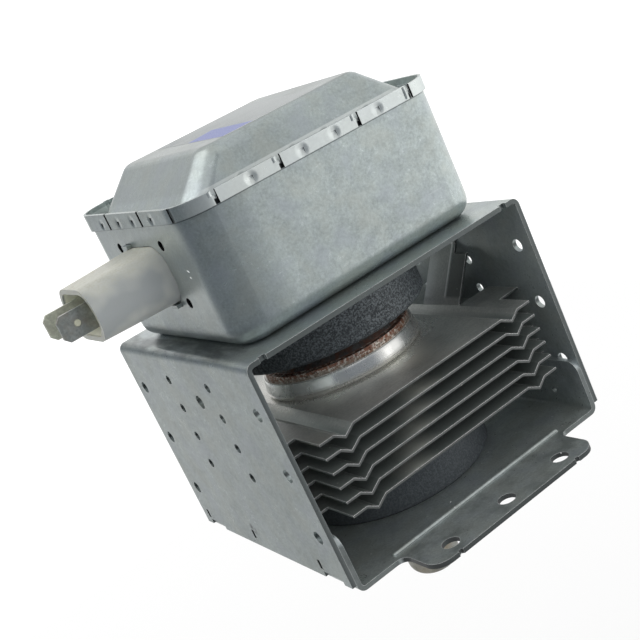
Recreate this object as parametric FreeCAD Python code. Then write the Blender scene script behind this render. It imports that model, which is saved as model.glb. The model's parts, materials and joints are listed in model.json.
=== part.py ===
import FreeCAD, Part

# A packaged oven magnetron. Millimetres, +Z up, from the antenna to the filter box.
# The origin is on the tube's axis, on the underside of the mounting plate.
# The open front of the yoke looks along -Y and the terminals point along -X.

import math
import os

os.makedirs("parts", exist_ok=True)

V = FreeCAD.Vector

# Yoke
YOKE_WIDTH = 80.0
YOKE_DEPTH = 76.9
YOKE_TOP = 58.3
YOKE_SHEET = 1.2
BEND_RADIUS = 2.0
PANEL_BOTTOM = 2.3
PANEL_RECESS_HEIGHT = 1.4
PANEL_RECESS_LENGTH = 8.4
PANEL_RECESS_SETBACK = 3.25
TOP_NOTCH_SETBACK = 3.5
TOP_NOTCH_WIDTH = 1.8
TOP_NOTCH_DEPTH = 1.0

# Holes in both side panels; the heights are counted down from the top of the yoke
DUCT_HOLE_RADIUS = 1.65
DUCT_HOLE_SETBACK = 5.15
DUCT_HOLE_DROPS = (12.3, 27.7, 43.8)
SENSOR_HOLE_RADIUS = 1.25
SENSOR_HOLE_Y = 11.7
SENSOR_HOLE_DROP = 7.9
SENSOR_HOLE_PITCH = 8.1
SENSOR_HOLE_COUNT = 4
PILOT_HOLE_RADIUS = 1.8
PILOT_HOLE_Y = -2.6
PILOT_HOLE_DROP = 12.6

# Stakes that hold the side panels on the flanges of the mounting plate
STAKE_FRONT_SETBACK = 11.75
STAKE_MIDDLE_Y = 7.0
STAKE_REAR_SETBACK = 3.45
STAKE_Z = 5.6
STAKE_HEIGHT = 2.6
STAKE_WIDTH = 1.2
STAKE_EYE_RADIUS = 0.9

# Mounting plate
FLANGE_TOP = 14.6
FLANGE_CORNER = 3.0
LIP_WIDTH = 51.0
LIP_EDGE = 4.9
LIP_CORNER = 4.5
LIP_ROOT_FILLET = 2.5
BOLT_SPACING_X = 17.6
BOLT_OVERHANG = 8.05
BOLT_HOLE_RADIUS = 2.25
BEAD_SETBACK = 2.35
BEAD_LENGTH = 54.0
BEAD_RADIUS = 0.75
NICK_X = 18.6
NICK_RADIUS = 0.6

# Magnets
MAGNET_RADIUS = 26.3
MAGNET_BORE_RADIUS = 10.5
MAGNET_THICKNESS = 12.5
MAGNET_CHAMFER = 0.6

# Anode
ANODE_RADIUS = 19.7
ANODE_WALL = 2.2
END_STEP_DEPTH = 1.6
END_STEP_WIDTH = 1.1
VANE_COUNT = 10
VANE_SHEET = 2.0
VANE_HEIGHT = 9.5
VANE_TIP_RADIUS = 4.5
STRAP_RADII = (7.2, 9.6)
STRAP_SHEET = 0.9
STRAP_HEIGHT = 1.5
STRAP_CLEARANCE = 0.5
POLE_SHEET = 1.6
POLE_TIP_GAP = 1.6
POLE_CONE_TOP_RADIUS = 14.0
POLE_CONE_TIP_RADIUS = 6.6
POLE_BORE_RADIUS = 4.75

# Cooling fins
FIN_COUNT = 6
FIN_SHEET = 0.6
FIN_TOP_DROP = 5.4
FIN_FOOT = 1.45
FIN_SETBACK = 0.35
FIN_SIDE_SETBACK = 6.5
FIN_TAB_HALF_DEPTH = 27.0
FIN_FLAT_HALF_WIDTH = 22.75
FIN_DIP_X = 25.8
FIN_LEVEL_X = 28.3
FIN_DIP = 1.71
COLLAR_SHEET = 0.6
TOP_COLLAR_HEIGHT = 4.3
COLLAR_FILLET = 0.9
COLLAR_CLEARANCE = 0.05

# Bent-up flap at each side of the top fin
FLAP_X = 28.7
FLAP_FRONT_Y = -14.9
FLAP_REAR_Y = 0.6
FLAP_RISE = 12.9
FLAP_TONGUE_TOP = 51.5
FLAP_TONGUE_Y = -9.8
FLAP_SHOULDER_Z = 45.2
FLAP_SLOT = 0.4

# Seal caps of the tube
CAP_SHEET = 0.8
CAP_HEIGHT = 4.9
CAP_RIM_SETBACK = 1.7
CAP_CONE_RUN = 2.8
NECK_RADIUS = 9.0
NECK_CLEARANCE = 0.4
NECK_RISE = 3.7
NECK_BOTTOM = -7.8
NECK_MOUTH_RADIUS = 5.2

# Cathode
FILAMENT_RADIUS = 1.95
FILAMENT_WIRE_RADIUS = 0.25
FILAMENT_TURNS = 8
FILAMENT_SIDES = 4
FILAMENT_STEPS = 8
SHIELD_RADIUS = 3.4
SHIELD_SHEET = 1.2
SHIELD_GAP = 0.1
LEAD_RADIUS = 0.6
SIDE_LEAD_Y = -2.6
LEAD_RISE = 15.7
LEAD_CLEARANCE = 0.1
STEM_RADIUS = 7.6
STEM_HEIGHT = 9.0

# Antenna
ANTENNA_LEAD_RADIUS = 1.0
ANTENNA_LEAD_X = 11.0
ANTENNA_LEAD_BEND_Z = 19.0
ANTENNA_LEAD_AXIS_Z = 9.5
ANTENNA_LEAD_CLEARANCE = 0.6
ANTENNA_CERAMIC_RADIUS = 7.0
ANTENNA_CERAMIC_BORE = 5.2
ANTENNA_CERAMIC_LENGTH = 9.2
ANTENNA_CAP_RADIUS = 7.2
ANTENNA_CAP_SHEET = 0.6
ANTENNA_CAP_TIP_Z = -29.5
ANTENNA_CAP_EDGE = 3.8
GASKET_RADIUS = 16.0
GASKET_HEIGHT = 4.6
GASKET_EDGE = 1.2
GASKET_SEAT_DEPTH = 0.3
GASKET_SEAT_CLEARANCE = 0.3

# Filter box
BOX_HALF_X = 35.2
BOX_HALF_Y = 32.0
BOX_SHEET = 0.8
BOX_CORNER = 7.5
BOX_BOTTOM_RADIUS = 4.5
RIVET_X = 24.0
RIVET_Y = 20.0
RIVET_RADIUS = 1.5
RIVET_HEAD_RADIUS = 2.8
RIVET_HEAD_HEIGHT = 0.8

# Lid
LID_SHEET = 0.7
FILTER_HEIGHT = 34.3
RIM_HEIGHT = 3.2
RIM_REAR_RISE = 1.3
TROUGH_DEPTH = 1.3
TROUGH_WIDTH_X = 3.9
TROUGH_WIDTH_Y = 3.4
DOME_HEIGHT = 9.0
DOME_SLOPE_X = 9.8
DOME_SLOPE_Y = 2.6
DOME_BASE_CORNER = 6.0
DOME_TOP_CORNER = 4.6
DOME_SHOULDER = 3.6
SLIT_WIDTH = 1.1
SLIT_X = (-26.8, -9.8, 12.0, 27.4)
SLIT_Y = (-27.2, -10.1, 10.9)
DIMPLE_X = (-17.6, -3.8, 5.2, 17.8)
DIMPLE_Y = (-16.6, -5.1, 4.0, 15.5)
DIMPLE_WIDTH = 1.1
DIMPLE_HEIGHT = 1.6
DIMPLE_DEPTH = 0.4
DIMPLE_TOP_GAP = 1.3

# Printed foil on the lid
LABEL_WIDTH = 23.0
LABEL_LENGTH = 46.0
LABEL_SHEET = 0.08
LABEL_CORNER = 0.8
LABEL_X = -3.6
LABEL_Y = -1.6
LABEL_TURN = -4.0

# Feed-through capacitor and terminals
TERMINAL_RISE = 18.8
TERMINAL_Y = 5.0
BLADE_SHEET = 0.8
BLADE_WIDTH = 6.35
BLADE_REACH = 7.3
BLADE_CHAMFER = 1.2
BLADE_HOLE_RADIUS = 0.85
BLADE_HOLE_SETBACK = 4.4
BLADE_INNER_WIDTH = 3.2
BLADE_INNER_X = -16.0
INSULATOR_LENGTH = 19.5
INSULATOR_HALF_Y = 11.5
INSULATOR_HALF_Z = 7.1
INSULATOR_MOUTH_HALF_Y = 10.9
INSULATOR_MOUTH_HALF_Z = 6.5
INSULATOR_CORNER = 5.8
INSULATOR_WALL = 1.2
INSULATOR_CLEARANCE = 0.15
CAPACITOR_INNER_X = -21.0
CAPACITOR_HALF_Y = 10.2
CAPACITOR_HALF_Z = 7.0
CAPACITOR_CORNER = 3.0
GROUND_PLATE_SHEET = 0.8
GROUND_PLATE_HALF_Y = 15.6
GROUND_PLATE_HALF_Z = 9.8
GROUND_PLATE_CORNER = 2.5
PLATE_HOLE_Y = 13.2
PLATE_HOLE_Z = 7.15
PLATE_HOLE_RADIUS = 1.3
GROUND_TAB_Y = 6.6
GROUND_TAB_LENGTH = 3.2
GROUND_TAB_REACH = 1.3

# Chokes
CHOKE_Y = 13.0
CHOKE_RISE = 0.7
CORE_RADIUS = 2.5
CORE_LENGTH = 24.0
COIL_WIRE_RADIUS = 0.7
COIL_SIDES = 6
COIL_STEPS = 10
COIL_TURNS = 7
COIL_PITCH = 2.4
COIL_RADIUS = 3.55


# Values that follow from the sizes above
HALF_WIDTH = YOKE_WIDTH / 2
HALF_DEPTH = YOKE_DEPTH / 2
INNER_X = HALF_WIDTH - YOKE_SHEET
TOP_UNDERSIDE = YOKE_TOP - YOKE_SHEET
DUCT_HOLE_Y = HALF_DEPTH - DUCT_HOLE_SETBACK
STAKE_PLACES = (STAKE_FRONT_SETBACK - HALF_DEPTH, STAKE_MIDDLE_Y, HALF_DEPTH - STAKE_REAR_SETBACK)
BOLT_Y = HALF_DEPTH + BOLT_OVERHANG
LIP_REACH = BOLT_Y + LIP_EDGE
BEAD_Y = HALF_DEPTH - BEAD_SETBACK
LOWER_MAGNET_TOP = YOKE_SHEET + MAGNET_THICKNESS
UPPER_MAGNET_BOTTOM = TOP_UNDERSIDE - MAGNET_THICKNESS
ANODE_BOTTOM = LOWER_MAGNET_TOP + CAP_SHEET
ANODE_TOP = UPPER_MAGNET_BOTTOM - CAP_HEIGHT
ANODE_MIDDLE = (ANODE_BOTTOM + ANODE_TOP) / 2
ANODE_BORE_RADIUS = ANODE_RADIUS - ANODE_WALL
CAP_RIM_RADIUS = ANODE_RADIUS - CAP_RIM_SETBACK
CAP_SHOULDER_RADIUS = CAP_RIM_RADIUS - CAP_CONE_RUN
END_STEP_RADIUS = ANODE_BORE_RADIUS + END_STEP_WIDTH
POLE_TIP_Z = VANE_HEIGHT / 2 + POLE_TIP_GAP + POLE_SHEET / 2
FIN_TOP_Z = ANODE_TOP - FIN_TOP_DROP
FIN_PITCH = (FIN_TOP_Z - ANODE_BOTTOM - FIN_FOOT) / (FIN_COUNT - 1)
FIN_HALF_DEPTH = HALF_DEPTH - FIN_SETBACK
FIN_BODY_HALF_WIDTH = INNER_X - FIN_SIDE_SETBACK
NECK_TOP = YOKE_TOP + NECK_RISE
LEAD_TOP = YOKE_TOP + LEAD_RISE
RIM_TOP = YOKE_TOP + FILTER_HEIGHT
RIM_BOTTOM = RIM_TOP - RIM_HEIGHT
TROUGH_TOP = RIM_TOP - TROUGH_DEPTH
BOX_TOP = TROUGH_TOP - LID_SHEET
DOME_TOP = TROUGH_TOP + DOME_HEIGHT
TERMINAL_Z = YOKE_TOP + TERMINAL_RISE
CHOKE_Z = TERMINAL_Z + CHOKE_RISE
WALL_INNER_X = -BOX_HALF_X + BOX_SHEET
CAPACITOR_OUTER_X = WALL_INNER_X + GROUND_PLATE_SHEET
INSULATOR_MOUTH_X = -BOX_HALF_X - INSULATOR_LENGTH
BLADE_TIP_X = INSULATOR_MOUTH_X - BLADE_REACH
MARGIN = 1.0


def block(x0, x1, y0, y1, z0, z1):
    return Part.makeBox(x1 - x0, y1 - y0, z1 - z0, V(x0, y0, z0))


def rod(radius, z0, z1, x=0.0, y=0.0):
    return Part.makeCylinder(radius, z1 - z0, V(x, y, z0), V(0, 0, 1))


def cross_rod(radius, x0, x1, y, z):
    return Part.makeCylinder(radius, x1 - x0, V(x0, y, z), V(1, 0, 0))


def joined(shapes):
    """Fuse solids that touch or overlap into one."""
    return shapes[0].fuse(shapes[1:]).removeSplitter()


def outline(corners):
    """Closed wire through (point, radius) corners, with a tangent arc at each that has a radius."""
    count = len(corners)
    edges = []
    ends = []
    for i, (point, radius) in enumerate(corners):
        before = (corners[i - 1][0] - point).normalize()
        after = (corners[(i + 1) % count][0] - point).normalize()
        if radius <= 0:
            ends.append((point, point, None))
            continue
        half = before.getAngle(after) / 2
        reach = radius / math.tan(half)
        inward = (before + after).normalize()
        middle = point + inward * (radius / math.sin(half) - radius)
        ends.append((point + before * reach, point + after * reach, middle))
    for i, (start, end, middle) in enumerate(ends):
        if middle is not None:
            edges.append(Part.Arc(start, middle, end).toShape())
        following = ends[(i + 1) % count][0]
        if end.distanceToPoint(following) > 1e-6:
            edges.append(Part.makeLine(end, following))
    return Part.Wire(edges)


def plate(corners, direction):
    return Part.Face(outline(corners)).extrude(direction)


def sharp(points):
    return [(V(*point), 0.0) for point in points]


def turned(profile):
    """Solid of revolution about Z from corners given as (radius, height) or (radius, height, fillet)."""
    corners = [(V(p[0], 0, p[1]), p[2] if len(p) > 2 else 0.0) for p in profile]
    return Part.Face(outline(corners)).revolve(V(0, 0, 0), V(0, 0, 1), 360)


def ring(inner, outer, z0, z1):
    return turned([(inner, z0), (outer, z0), (outer, z1), (inner, z1)])


def strip(points, sheet):
    """Outline of a sheet of even thickness that follows an open line of (across, up) points."""
    offsets = []
    for i in range(len(points)):
        normals = []
        for a, b in ((i - 1, i), (i, i + 1)):
            if a >= 0 and b < len(points):
                run = (points[b][0] - points[a][0], points[b][1] - points[a][1])
                size = math.hypot(*run)
                normals.append((-run[1] / size, run[0] / size))
        first, last = normals[0], normals[-1]
        scale = sheet / 2 / (1 + first[0] * last[0] + first[1] * last[1])
        offsets.append(((first[0] + last[0]) * scale, (first[1] + last[1]) * scale))
    upper = [(p[0] + o[0], p[1] + o[1]) for p, o in zip(points, offsets)]
    lower = [(p[0] - o[0], p[1] - o[1]) for p, o in zip(points, offsets)]
    return upper + lower[::-1]


def rounded_rectangle(half_x, half_y, radius, z):
    corners = [(-half_x, -half_y), (half_x, -half_y), (half_x, half_y), (-half_x, half_y)]
    return outline([(V(x, y, z), radius) for x, y in corners])


def rounded_block(half_x, half_y, radius, z0, z1):
    face = Part.Face(rounded_rectangle(half_x, half_y, radius, z0))
    return face.extrude(V(0, 0, z1 - z0))


def edges_level(shape, z):
    """Edges that lie flat at one height."""
    found = []
    for edge in shape.Edges:
        bounds = edge.BoundBox
        if abs(bounds.ZMin - z) < 0.01 and abs(bounds.ZMax - z) < 0.01:
            found.append(edge)
    return found


def wire_tube(points, radius, sides):
    """Wire drawn as a tube of flat faces round a line of points, closed at both ends."""
    rings = []
    normal = None
    for i, point in enumerate(points):
        before = points[max(i - 1, 0)]
        after = points[min(i + 1, len(points) - 1)]
        run = (after - before).normalize()
        if normal is None:
            normal = run.cross(V(0.3, 0.5, 0.81))
        normal = (normal - run * normal.dot(run)).normalize()
        side = run.cross(normal)
        ring = []
        for k in range(sides):
            angle = 2 * math.pi * k / sides
            ring.append(point + normal * (radius * math.cos(angle)) + side * (radius * math.sin(angle)))
        rings.append(ring)
    faces = [flat_face(rings[0]), flat_face(rings[-1])]
    for ring, following in zip(rings, rings[1:]):
        for k in range(sides):
            m = (k + 1) % sides
            faces.append(flat_face([ring[k], ring[m], following[k]]))
            faces.append(flat_face([ring[m], following[m], following[k]]))
    return Part.Solid(Part.makeShell(faces))


def flat_face(points):
    return Part.Face(Part.makePolygon(points + [points[0]]))


def helix_points(radius, pitch, turns, per_turn):
    """Points of a coil about +Z from height 0, starting at +X."""
    points = []
    for i in range(turns * per_turn + 1):
        angle = 2 * math.pi * i / per_turn
        points.append(V(radius * math.cos(angle), radius * math.sin(angle), pitch * i / per_turn))
    return points


def panel_holes():
    """Holes through both side panels, and the ones that only one panel has."""
    tools = []
    far = HALF_WIDTH + MARGIN
    for y in (-DUCT_HOLE_Y, DUCT_HOLE_Y):
        for drop in DUCT_HOLE_DROPS:
            tools.append(cross_rod(DUCT_HOLE_RADIUS, -far, far, y, YOKE_TOP - drop))
    for y in (-SENSOR_HOLE_Y, SENSOR_HOLE_Y):
        for i in range(SENSOR_HOLE_COUNT):
            z = YOKE_TOP - SENSOR_HOLE_DROP - i * SENSOR_HOLE_PITCH
            tools.append(cross_rod(SENSOR_HOLE_RADIUS, -far, far, y, z))
    tools.append(cross_rod(PILOT_HOLE_RADIUS, -far, 0, PILOT_HOLE_Y, YOKE_TOP - PILOT_HOLE_DROP))
    return tools


def panel_recesses():
    """Shallow cut-outs in the panels' bottom edges, and the stake marks above them."""
    tools = []
    for side in (-1, 1):
        x0, x1 = sorted((side * (INNER_X - MARGIN), side * (HALF_WIDTH + MARGIN)))
        near = HALF_DEPTH - PANEL_RECESS_SETBACK
        for y0 in (-near, near - PANEL_RECESS_LENGTH):
            top = PANEL_BOTTOM + PANEL_RECESS_HEIGHT
            tools.append(block(x0, x1, y0, y0 + PANEL_RECESS_LENGTH, 0, top))
        for y in STAKE_PLACES:
            y0 = y - STAKE_WIDTH / 2
            z0 = STAKE_Z - STAKE_HEIGHT / 2
            tools.append(block(x0, x1, y0, y0 + STAKE_WIDTH, z0, z0 + STAKE_HEIGHT))
    return tools


def upper_yoke():
    """Folded U: the top plate and the two side panels."""
    inner_bend = BEND_RADIUS - YOKE_SHEET
    front = -HALF_DEPTH
    corners = [
        (V(-HALF_WIDTH, front, PANEL_BOTTOM), 0),
        (V(-HALF_WIDTH, front, YOKE_TOP), BEND_RADIUS),
        (V(HALF_WIDTH, front, YOKE_TOP), BEND_RADIUS),
        (V(HALF_WIDTH, front, PANEL_BOTTOM), 0),
        (V(INNER_X, front, PANEL_BOTTOM), 0),
        (V(INNER_X, front, TOP_UNDERSIDE), inner_bend),
        (V(-INNER_X, front, TOP_UNDERSIDE), inner_bend),
        (V(-INNER_X, front, PANEL_BOTTOM), 0),
    ]
    body = plate(corners, V(0, YOKE_DEPTH, 0))
    tools = panel_holes() + panel_recesses()
    for x in (TOP_NOTCH_SETBACK - INNER_X, INNER_X - TOP_NOTCH_SETBACK):
        x0 = x - TOP_NOTCH_WIDTH / 2
        y1 = front + TOP_NOTCH_DEPTH
        tools.append(block(x0, x0 + TOP_NOTCH_WIDTH, front - MARGIN, y1, TOP_UNDERSIDE - MARGIN,
                           YOKE_TOP + MARGIN))
    tools.append(rod(NECK_RADIUS + NECK_CLEARANCE, TOP_UNDERSIDE - MARGIN, YOKE_TOP + MARGIN))
    for x, y in rivet_places():
        tools.append(rod(RIVET_RADIUS, TOP_UNDERSIDE - MARGIN, YOKE_TOP + MARGIN, x, y))
    return body.cut(tools)


def rivet_places():
    return [(x, y) for x in (-RIVET_X, RIVET_X) for y in (-RIVET_Y, RIVET_Y)]


def flanged_plate():
    """The mounting plate with a flange up each side and rounded flange corners."""
    flange_inner = INNER_X - YOKE_SHEET
    inner_bend = BEND_RADIUS - YOKE_SHEET
    front = -HALF_DEPTH
    corners = [
        (V(-INNER_X, front, FLANGE_TOP), 0),
        (V(-flange_inner, front, FLANGE_TOP), 0),
        (V(-flange_inner, front, YOKE_SHEET), inner_bend),
        (V(flange_inner, front, YOKE_SHEET), inner_bend),
        (V(flange_inner, front, FLANGE_TOP), 0),
        (V(INNER_X, front, FLANGE_TOP), 0),
        (V(INNER_X, front, 0), BEND_RADIUS),
        (V(-INNER_X, front, 0), BEND_RADIUS),
    ]
    body = plate(corners, V(0, 2 * HALF_DEPTH, 0))
    ends = []
    for edge in edges_level(body, FLANGE_TOP):
        if abs(abs(edge.BoundBox.YMin) - HALF_DEPTH) < 0.01 and edge.BoundBox.YLength < 0.01:
            ends.append(edge)
    return body.makeFillet(FLANGE_CORNER, ends)


def lips():
    """The two lips that stand out in front and behind, with the bolt holes' corners rounded."""
    half = LIP_WIDTH / 2
    root = half + 2 * LIP_ROOT_FILLET
    inside = HALF_DEPTH - MARGIN
    corners = []
    for side in (-1, 1):
        corners += [
            (V(-side * root, side * inside, 0), 0),
            (V(-side * root, side * HALF_DEPTH, 0), 0),
            (V(-side * half, side * HALF_DEPTH, 0), LIP_ROOT_FILLET),
            (V(-side * half, side * LIP_REACH, 0), LIP_CORNER),
            (V(side * half, side * LIP_REACH, 0), LIP_CORNER),
            (V(side * half, side * HALF_DEPTH, 0), LIP_ROOT_FILLET),
            (V(side * root, side * HALF_DEPTH, 0), 0),
            (V(side * root, side * inside, 0), 0),
        ]
    return plate(corners[:8], V(0, 0, YOKE_SHEET)), plate(corners[8:], V(0, 0, YOKE_SHEET))


def bead(y, z):
    """A pressed stiffening rib: a round bar with ball ends, half sunk in the sheet."""
    half = BEAD_LENGTH / 2 - BEAD_RADIUS
    bar = cross_rod(BEAD_RADIUS, -half, half, y, z)
    tips = [Part.makeSphere(BEAD_RADIUS, V(x, y, z)) for x in (-half, half)]
    return joined([bar] + tips)


def bolt_places():
    return [(x, y) for x in (-BOLT_SPACING_X, 0.0, BOLT_SPACING_X) for y in (-BOLT_Y, BOLT_Y)]


def lower_yoke():
    """Mounting plate: flanged plate, lips, ribs, six bolt holes and the antenna's hole with its seat."""
    body = joined([flanged_plate(), *lips()])
    body = joined([body, bead(-BEAD_Y, YOKE_SHEET), bead(BEAD_Y, YOKE_SHEET)])
    tools = [bead(-BEAD_Y, 0), bead(BEAD_Y, 0)]
    tools.append(rod(NECK_RADIUS + NECK_CLEARANCE, -MARGIN, YOKE_SHEET + MARGIN))
    tools.append(rod(GASKET_RADIUS + GASKET_SEAT_CLEARANCE, -MARGIN, GASKET_SEAT_DEPTH))
    for y in STAKE_PLACES:
        tools.append(cross_rod(STAKE_EYE_RADIUS, -HALF_WIDTH, HALF_WIDTH, y, STAKE_Z))
    for x, y in bolt_places():
        tools.append(rod(BOLT_HOLE_RADIUS, -MARGIN, YOKE_SHEET + MARGIN, x, y))
    for x in (-NICK_X, NICK_X):
        for y in (-LIP_REACH, LIP_REACH):
            tools.append(rod(NICK_RADIUS, -MARGIN, YOKE_SHEET + MARGIN, x, y))
    return body.cut(tools)


def magnet(z0):
    """Ferrite ring with chamfered outer edges."""
    z1 = z0 + MAGNET_THICKNESS
    edge = MAGNET_RADIUS - MAGNET_CHAMFER
    return turned([
        (MAGNET_BORE_RADIUS, z0),
        (edge, z0),
        (MAGNET_RADIUS, z0 + MAGNET_CHAMFER),
        (MAGNET_RADIUS, z1 - MAGNET_CHAMFER),
        (edge, z1),
        (MAGNET_BORE_RADIUS, z1),
    ])


def waved_sheet(z):
    """Fin sheet: flat in the middle, with a dip across each side and a level edge."""
    half = [(FIN_FLAT_HALF_WIDTH, z), (FIN_DIP_X, z - FIN_DIP), (FIN_LEVEL_X, z), (INNER_X, z)]
    line = [(-x, height) for x, height in reversed(half)] + half
    points = [(x, -FIN_HALF_DEPTH, height) for x, height in strip(line, FIN_SHEET)]
    return plate(sharp(points), V(0, 2 * FIN_HALF_DEPTH, 0))


def fin_corner_cuts(z):
    """Blocks that leave the side tabs only along the middle of the fin's depth."""
    cuts = []
    for side_x in (-1, 1):
        for side_y in (-1, 1):
            x0, x1 = sorted((side_x * FIN_BODY_HALF_WIDTH, side_x * HALF_WIDTH))
            y0, y1 = sorted((side_y * FIN_TAB_HALF_DEPTH, side_y * (FIN_HALF_DEPTH + MARGIN)))
            cuts.append(block(x0, x1, y0, y1, z - FIN_PITCH, z + FIN_PITCH))
    return cuts


def flap(z):
    """Tab bent up from the top fin: it leans out to the side panel and ends in a tongue."""
    tongue_x = INNER_X - FIN_SHEET / 2
    line = [(FIN_LEVEL_X, z), (FLAP_X, z), (tongue_x, z + FLAP_RISE), (tongue_x, FLAP_TONGUE_TOP)]
    points = [(x, FLAP_FRONT_Y, height) for x, height in strip(line, FIN_SHEET)]
    sheet = plate(sharp(points), V(0, FLAP_REAR_Y - FLAP_FRONT_Y, 0))
    shoulder = block(FLAP_X, INNER_X + MARGIN, FLAP_FRONT_Y - MARGIN, FLAP_TONGUE_Y, FLAP_SHOULDER_Z,
                     FLAP_TONGUE_TOP + MARGIN)
    return sheet.cut(shoulder)


def flap_opening(z):
    """The gap that the bent-up tab leaves in the fin, with a slot at each end."""
    return block(FLAP_X + FIN_SHEET / 2, INNER_X + MARGIN, FLAP_FRONT_Y - FLAP_SLOT, FLAP_REAR_Y + FLAP_SLOT,
                 z - FIN_SHEET, z + FIN_SHEET)


def fin(index):
    """One fin with its collar; the top one has a taller collar and two flaps."""
    z = FIN_TOP_Z - index * FIN_PITCH
    top = z + FIN_SHEET / 2
    outer = ANODE_RADIUS + COLLAR_SHEET
    is_top = index == 0
    rise = TOP_COLLAR_HEIGHT if is_top else FIN_PITCH - FIN_SHEET - COLLAR_CLEARANCE
    sheet = waved_sheet(z).cut(fin_corner_cuts(z))
    if is_top:
        openings = [flap_opening(z), flap_opening(z).rotated(V(0, 0, 0), V(0, 0, 1), 180)]
        flaps = [flap(z), flap(z).rotated(V(0, 0, 0), V(0, 0, 1), 180)]
        sheet = joined([sheet.cut(openings)] + flaps)
    collar = ring(ANODE_RADIUS - MARGIN, outer, z, top + rise)
    body = joined([sheet, collar])
    if is_top:
        root = [edge for edge in edges_level(body, top) if is_circle(edge, outer)]
        body = body.makeFillet(COLLAR_FILLET, root)
    return body.cut(rod(ANODE_RADIUS, z - FIN_PITCH, top + rise + MARGIN))


def is_circle(edge, radius):
    return isinstance(edge.Curve, Part.Circle) and abs(edge.Curve.Radius - radius) < 1e-6


def anode_shell():
    """Copper tube with a step at each end for a pole piece."""
    return turned([
        (END_STEP_RADIUS, ANODE_BOTTOM),
        (ANODE_RADIUS, ANODE_BOTTOM),
        (ANODE_RADIUS, ANODE_TOP),
        (END_STEP_RADIUS, ANODE_TOP),
        (END_STEP_RADIUS, ANODE_TOP - END_STEP_DEPTH),
        (ANODE_BORE_RADIUS, ANODE_TOP - END_STEP_DEPTH),
        (ANODE_BORE_RADIUS, ANODE_BOTTOM + END_STEP_DEPTH),
        (END_STEP_RADIUS, ANODE_BOTTOM + END_STEP_DEPTH),
    ])


def anode_vanes():
    """Copper plates that point at the cathode, slotted at both ends for the strap rings."""
    z0 = ANODE_MIDDLE - VANE_HEIGHT / 2
    z1 = ANODE_MIDDLE + VANE_HEIGHT / 2
    bore = rod(ANODE_BORE_RADIUS, z0, z1)
    vanes = []
    for i in range(VANE_COUNT):
        vane = block(VANE_TIP_RADIUS, ANODE_RADIUS, -VANE_SHEET / 2, VANE_SHEET / 2, z0, z1)
        slots = []
        for k, radius in enumerate(STRAP_RADII):
            clear = 0.0 if (i + k) % 2 == 0 else STRAP_CLEARANCE
            depth = STRAP_HEIGHT + clear
            inner, outer = radius - clear, radius + STRAP_SHEET + clear
            slots.append(ring(inner, outer, z0 - MARGIN, z0 + depth))
            slots.append(ring(inner, outer, z1 - depth, z1 + MARGIN))
        vane = vane.cut(slots).common(bore)
        vanes.append(vane.rotated(V(0, 0, 0), V(0, 0, 1), i * 360 / VANE_COUNT))
    return Part.makeCompound([solid for vane in vanes for solid in vane.Solids])


def strap_rings(z0):
    """An inner and an outer ring that lie in the vanes' slots."""
    return Part.makeCompound([ring(radius, radius + STRAP_SHEET, z0, z0 + STRAP_HEIGHT) for radius in STRAP_RADII])


def pole_piece(side):
    """Iron funnel in the anode's end step; side is 1 for the cathode's end, -1 for the antenna's."""
    rim = side * ((ANODE_TOP - ANODE_BOTTOM) / 2 - POLE_SHEET / 2)
    tip = side * POLE_TIP_Z
    line = [
        (END_STEP_RADIUS, ANODE_MIDDLE + rim),
        (POLE_CONE_TOP_RADIUS, ANODE_MIDDLE + rim),
        (POLE_CONE_TIP_RADIUS, ANODE_MIDDLE + tip),
        (POLE_BORE_RADIUS, ANODE_MIDDLE + tip),
    ]
    return turned(strip(line, POLE_SHEET))


def lower_pole_piece():
    """The antenna's pole piece has a hole where the antenna lead runs through its cone."""
    return pole_piece(-1).cut(antenna_lead_line(ANTENNA_LEAD_RADIUS + ANTENNA_LEAD_CLEARANCE))


def upper_seal_cap():
    """Thin steel cap: rim on the copper tube, shoulder under the magnet, neck up into the box."""
    middle = CAP_SHEET / 2
    line = [
        (ANODE_RADIUS, ANODE_TOP + middle),
        (CAP_RIM_RADIUS, ANODE_TOP + middle),
        (CAP_SHOULDER_RADIUS, UPPER_MAGNET_BOTTOM - middle),
        (NECK_RADIUS - middle, UPPER_MAGNET_BOTTOM - middle),
        (NECK_RADIUS - middle, NECK_TOP - middle),
        (NECK_MOUTH_RADIUS, NECK_TOP - middle),
    ]
    return turned(strip(line, CAP_SHEET))


def lower_seal_cap():
    """Thin steel cap under the copper tube, with the sleeve that carries the antenna's ceramic."""
    middle = CAP_SHEET / 2
    line = [
        (ANODE_RADIUS, LOWER_MAGNET_TOP + middle),
        (NECK_RADIUS - middle, LOWER_MAGNET_TOP + middle),
        (NECK_RADIUS - middle, NECK_BOTTOM + middle),
        (NECK_MOUTH_RADIUS, NECK_BOTTOM + middle),
    ]
    return turned(strip(line, CAP_SHEET))


def end_shield(z0, bore):
    """Disc at one end of the filament, with a bore for the centre lead."""
    return ring(bore, SHIELD_RADIUS, z0, z0 + SHIELD_SHEET)


def cathode_filament(z0, z1):
    """Spiral wire between the two end shields."""
    start = z0 + FILAMENT_WIRE_RADIUS + SHIELD_GAP
    length = z1 - FILAMENT_WIRE_RADIUS - SHIELD_GAP - start
    points = helix_points(FILAMENT_RADIUS, length / FILAMENT_TURNS, FILAMENT_TURNS, FILAMENT_STEPS)
    tube = wire_tube(points, FILAMENT_WIRE_RADIUS, FILAMENT_SIDES)
    return tube.translated(V(0, 0, start))


def stem_ceramic():
    """Ceramic on the upper neck, with a bore for each cathode lead."""
    body = rod(STEM_RADIUS, NECK_TOP, NECK_TOP + STEM_HEIGHT)
    bores = []
    for y in (0.0, SIDE_LEAD_Y):
        bores.append(rod(LEAD_RADIUS + LEAD_CLEARANCE, NECK_TOP - MARGIN, NECK_TOP + STEM_HEIGHT + MARGIN, 0, y))
    return body.cut(bores)


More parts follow.
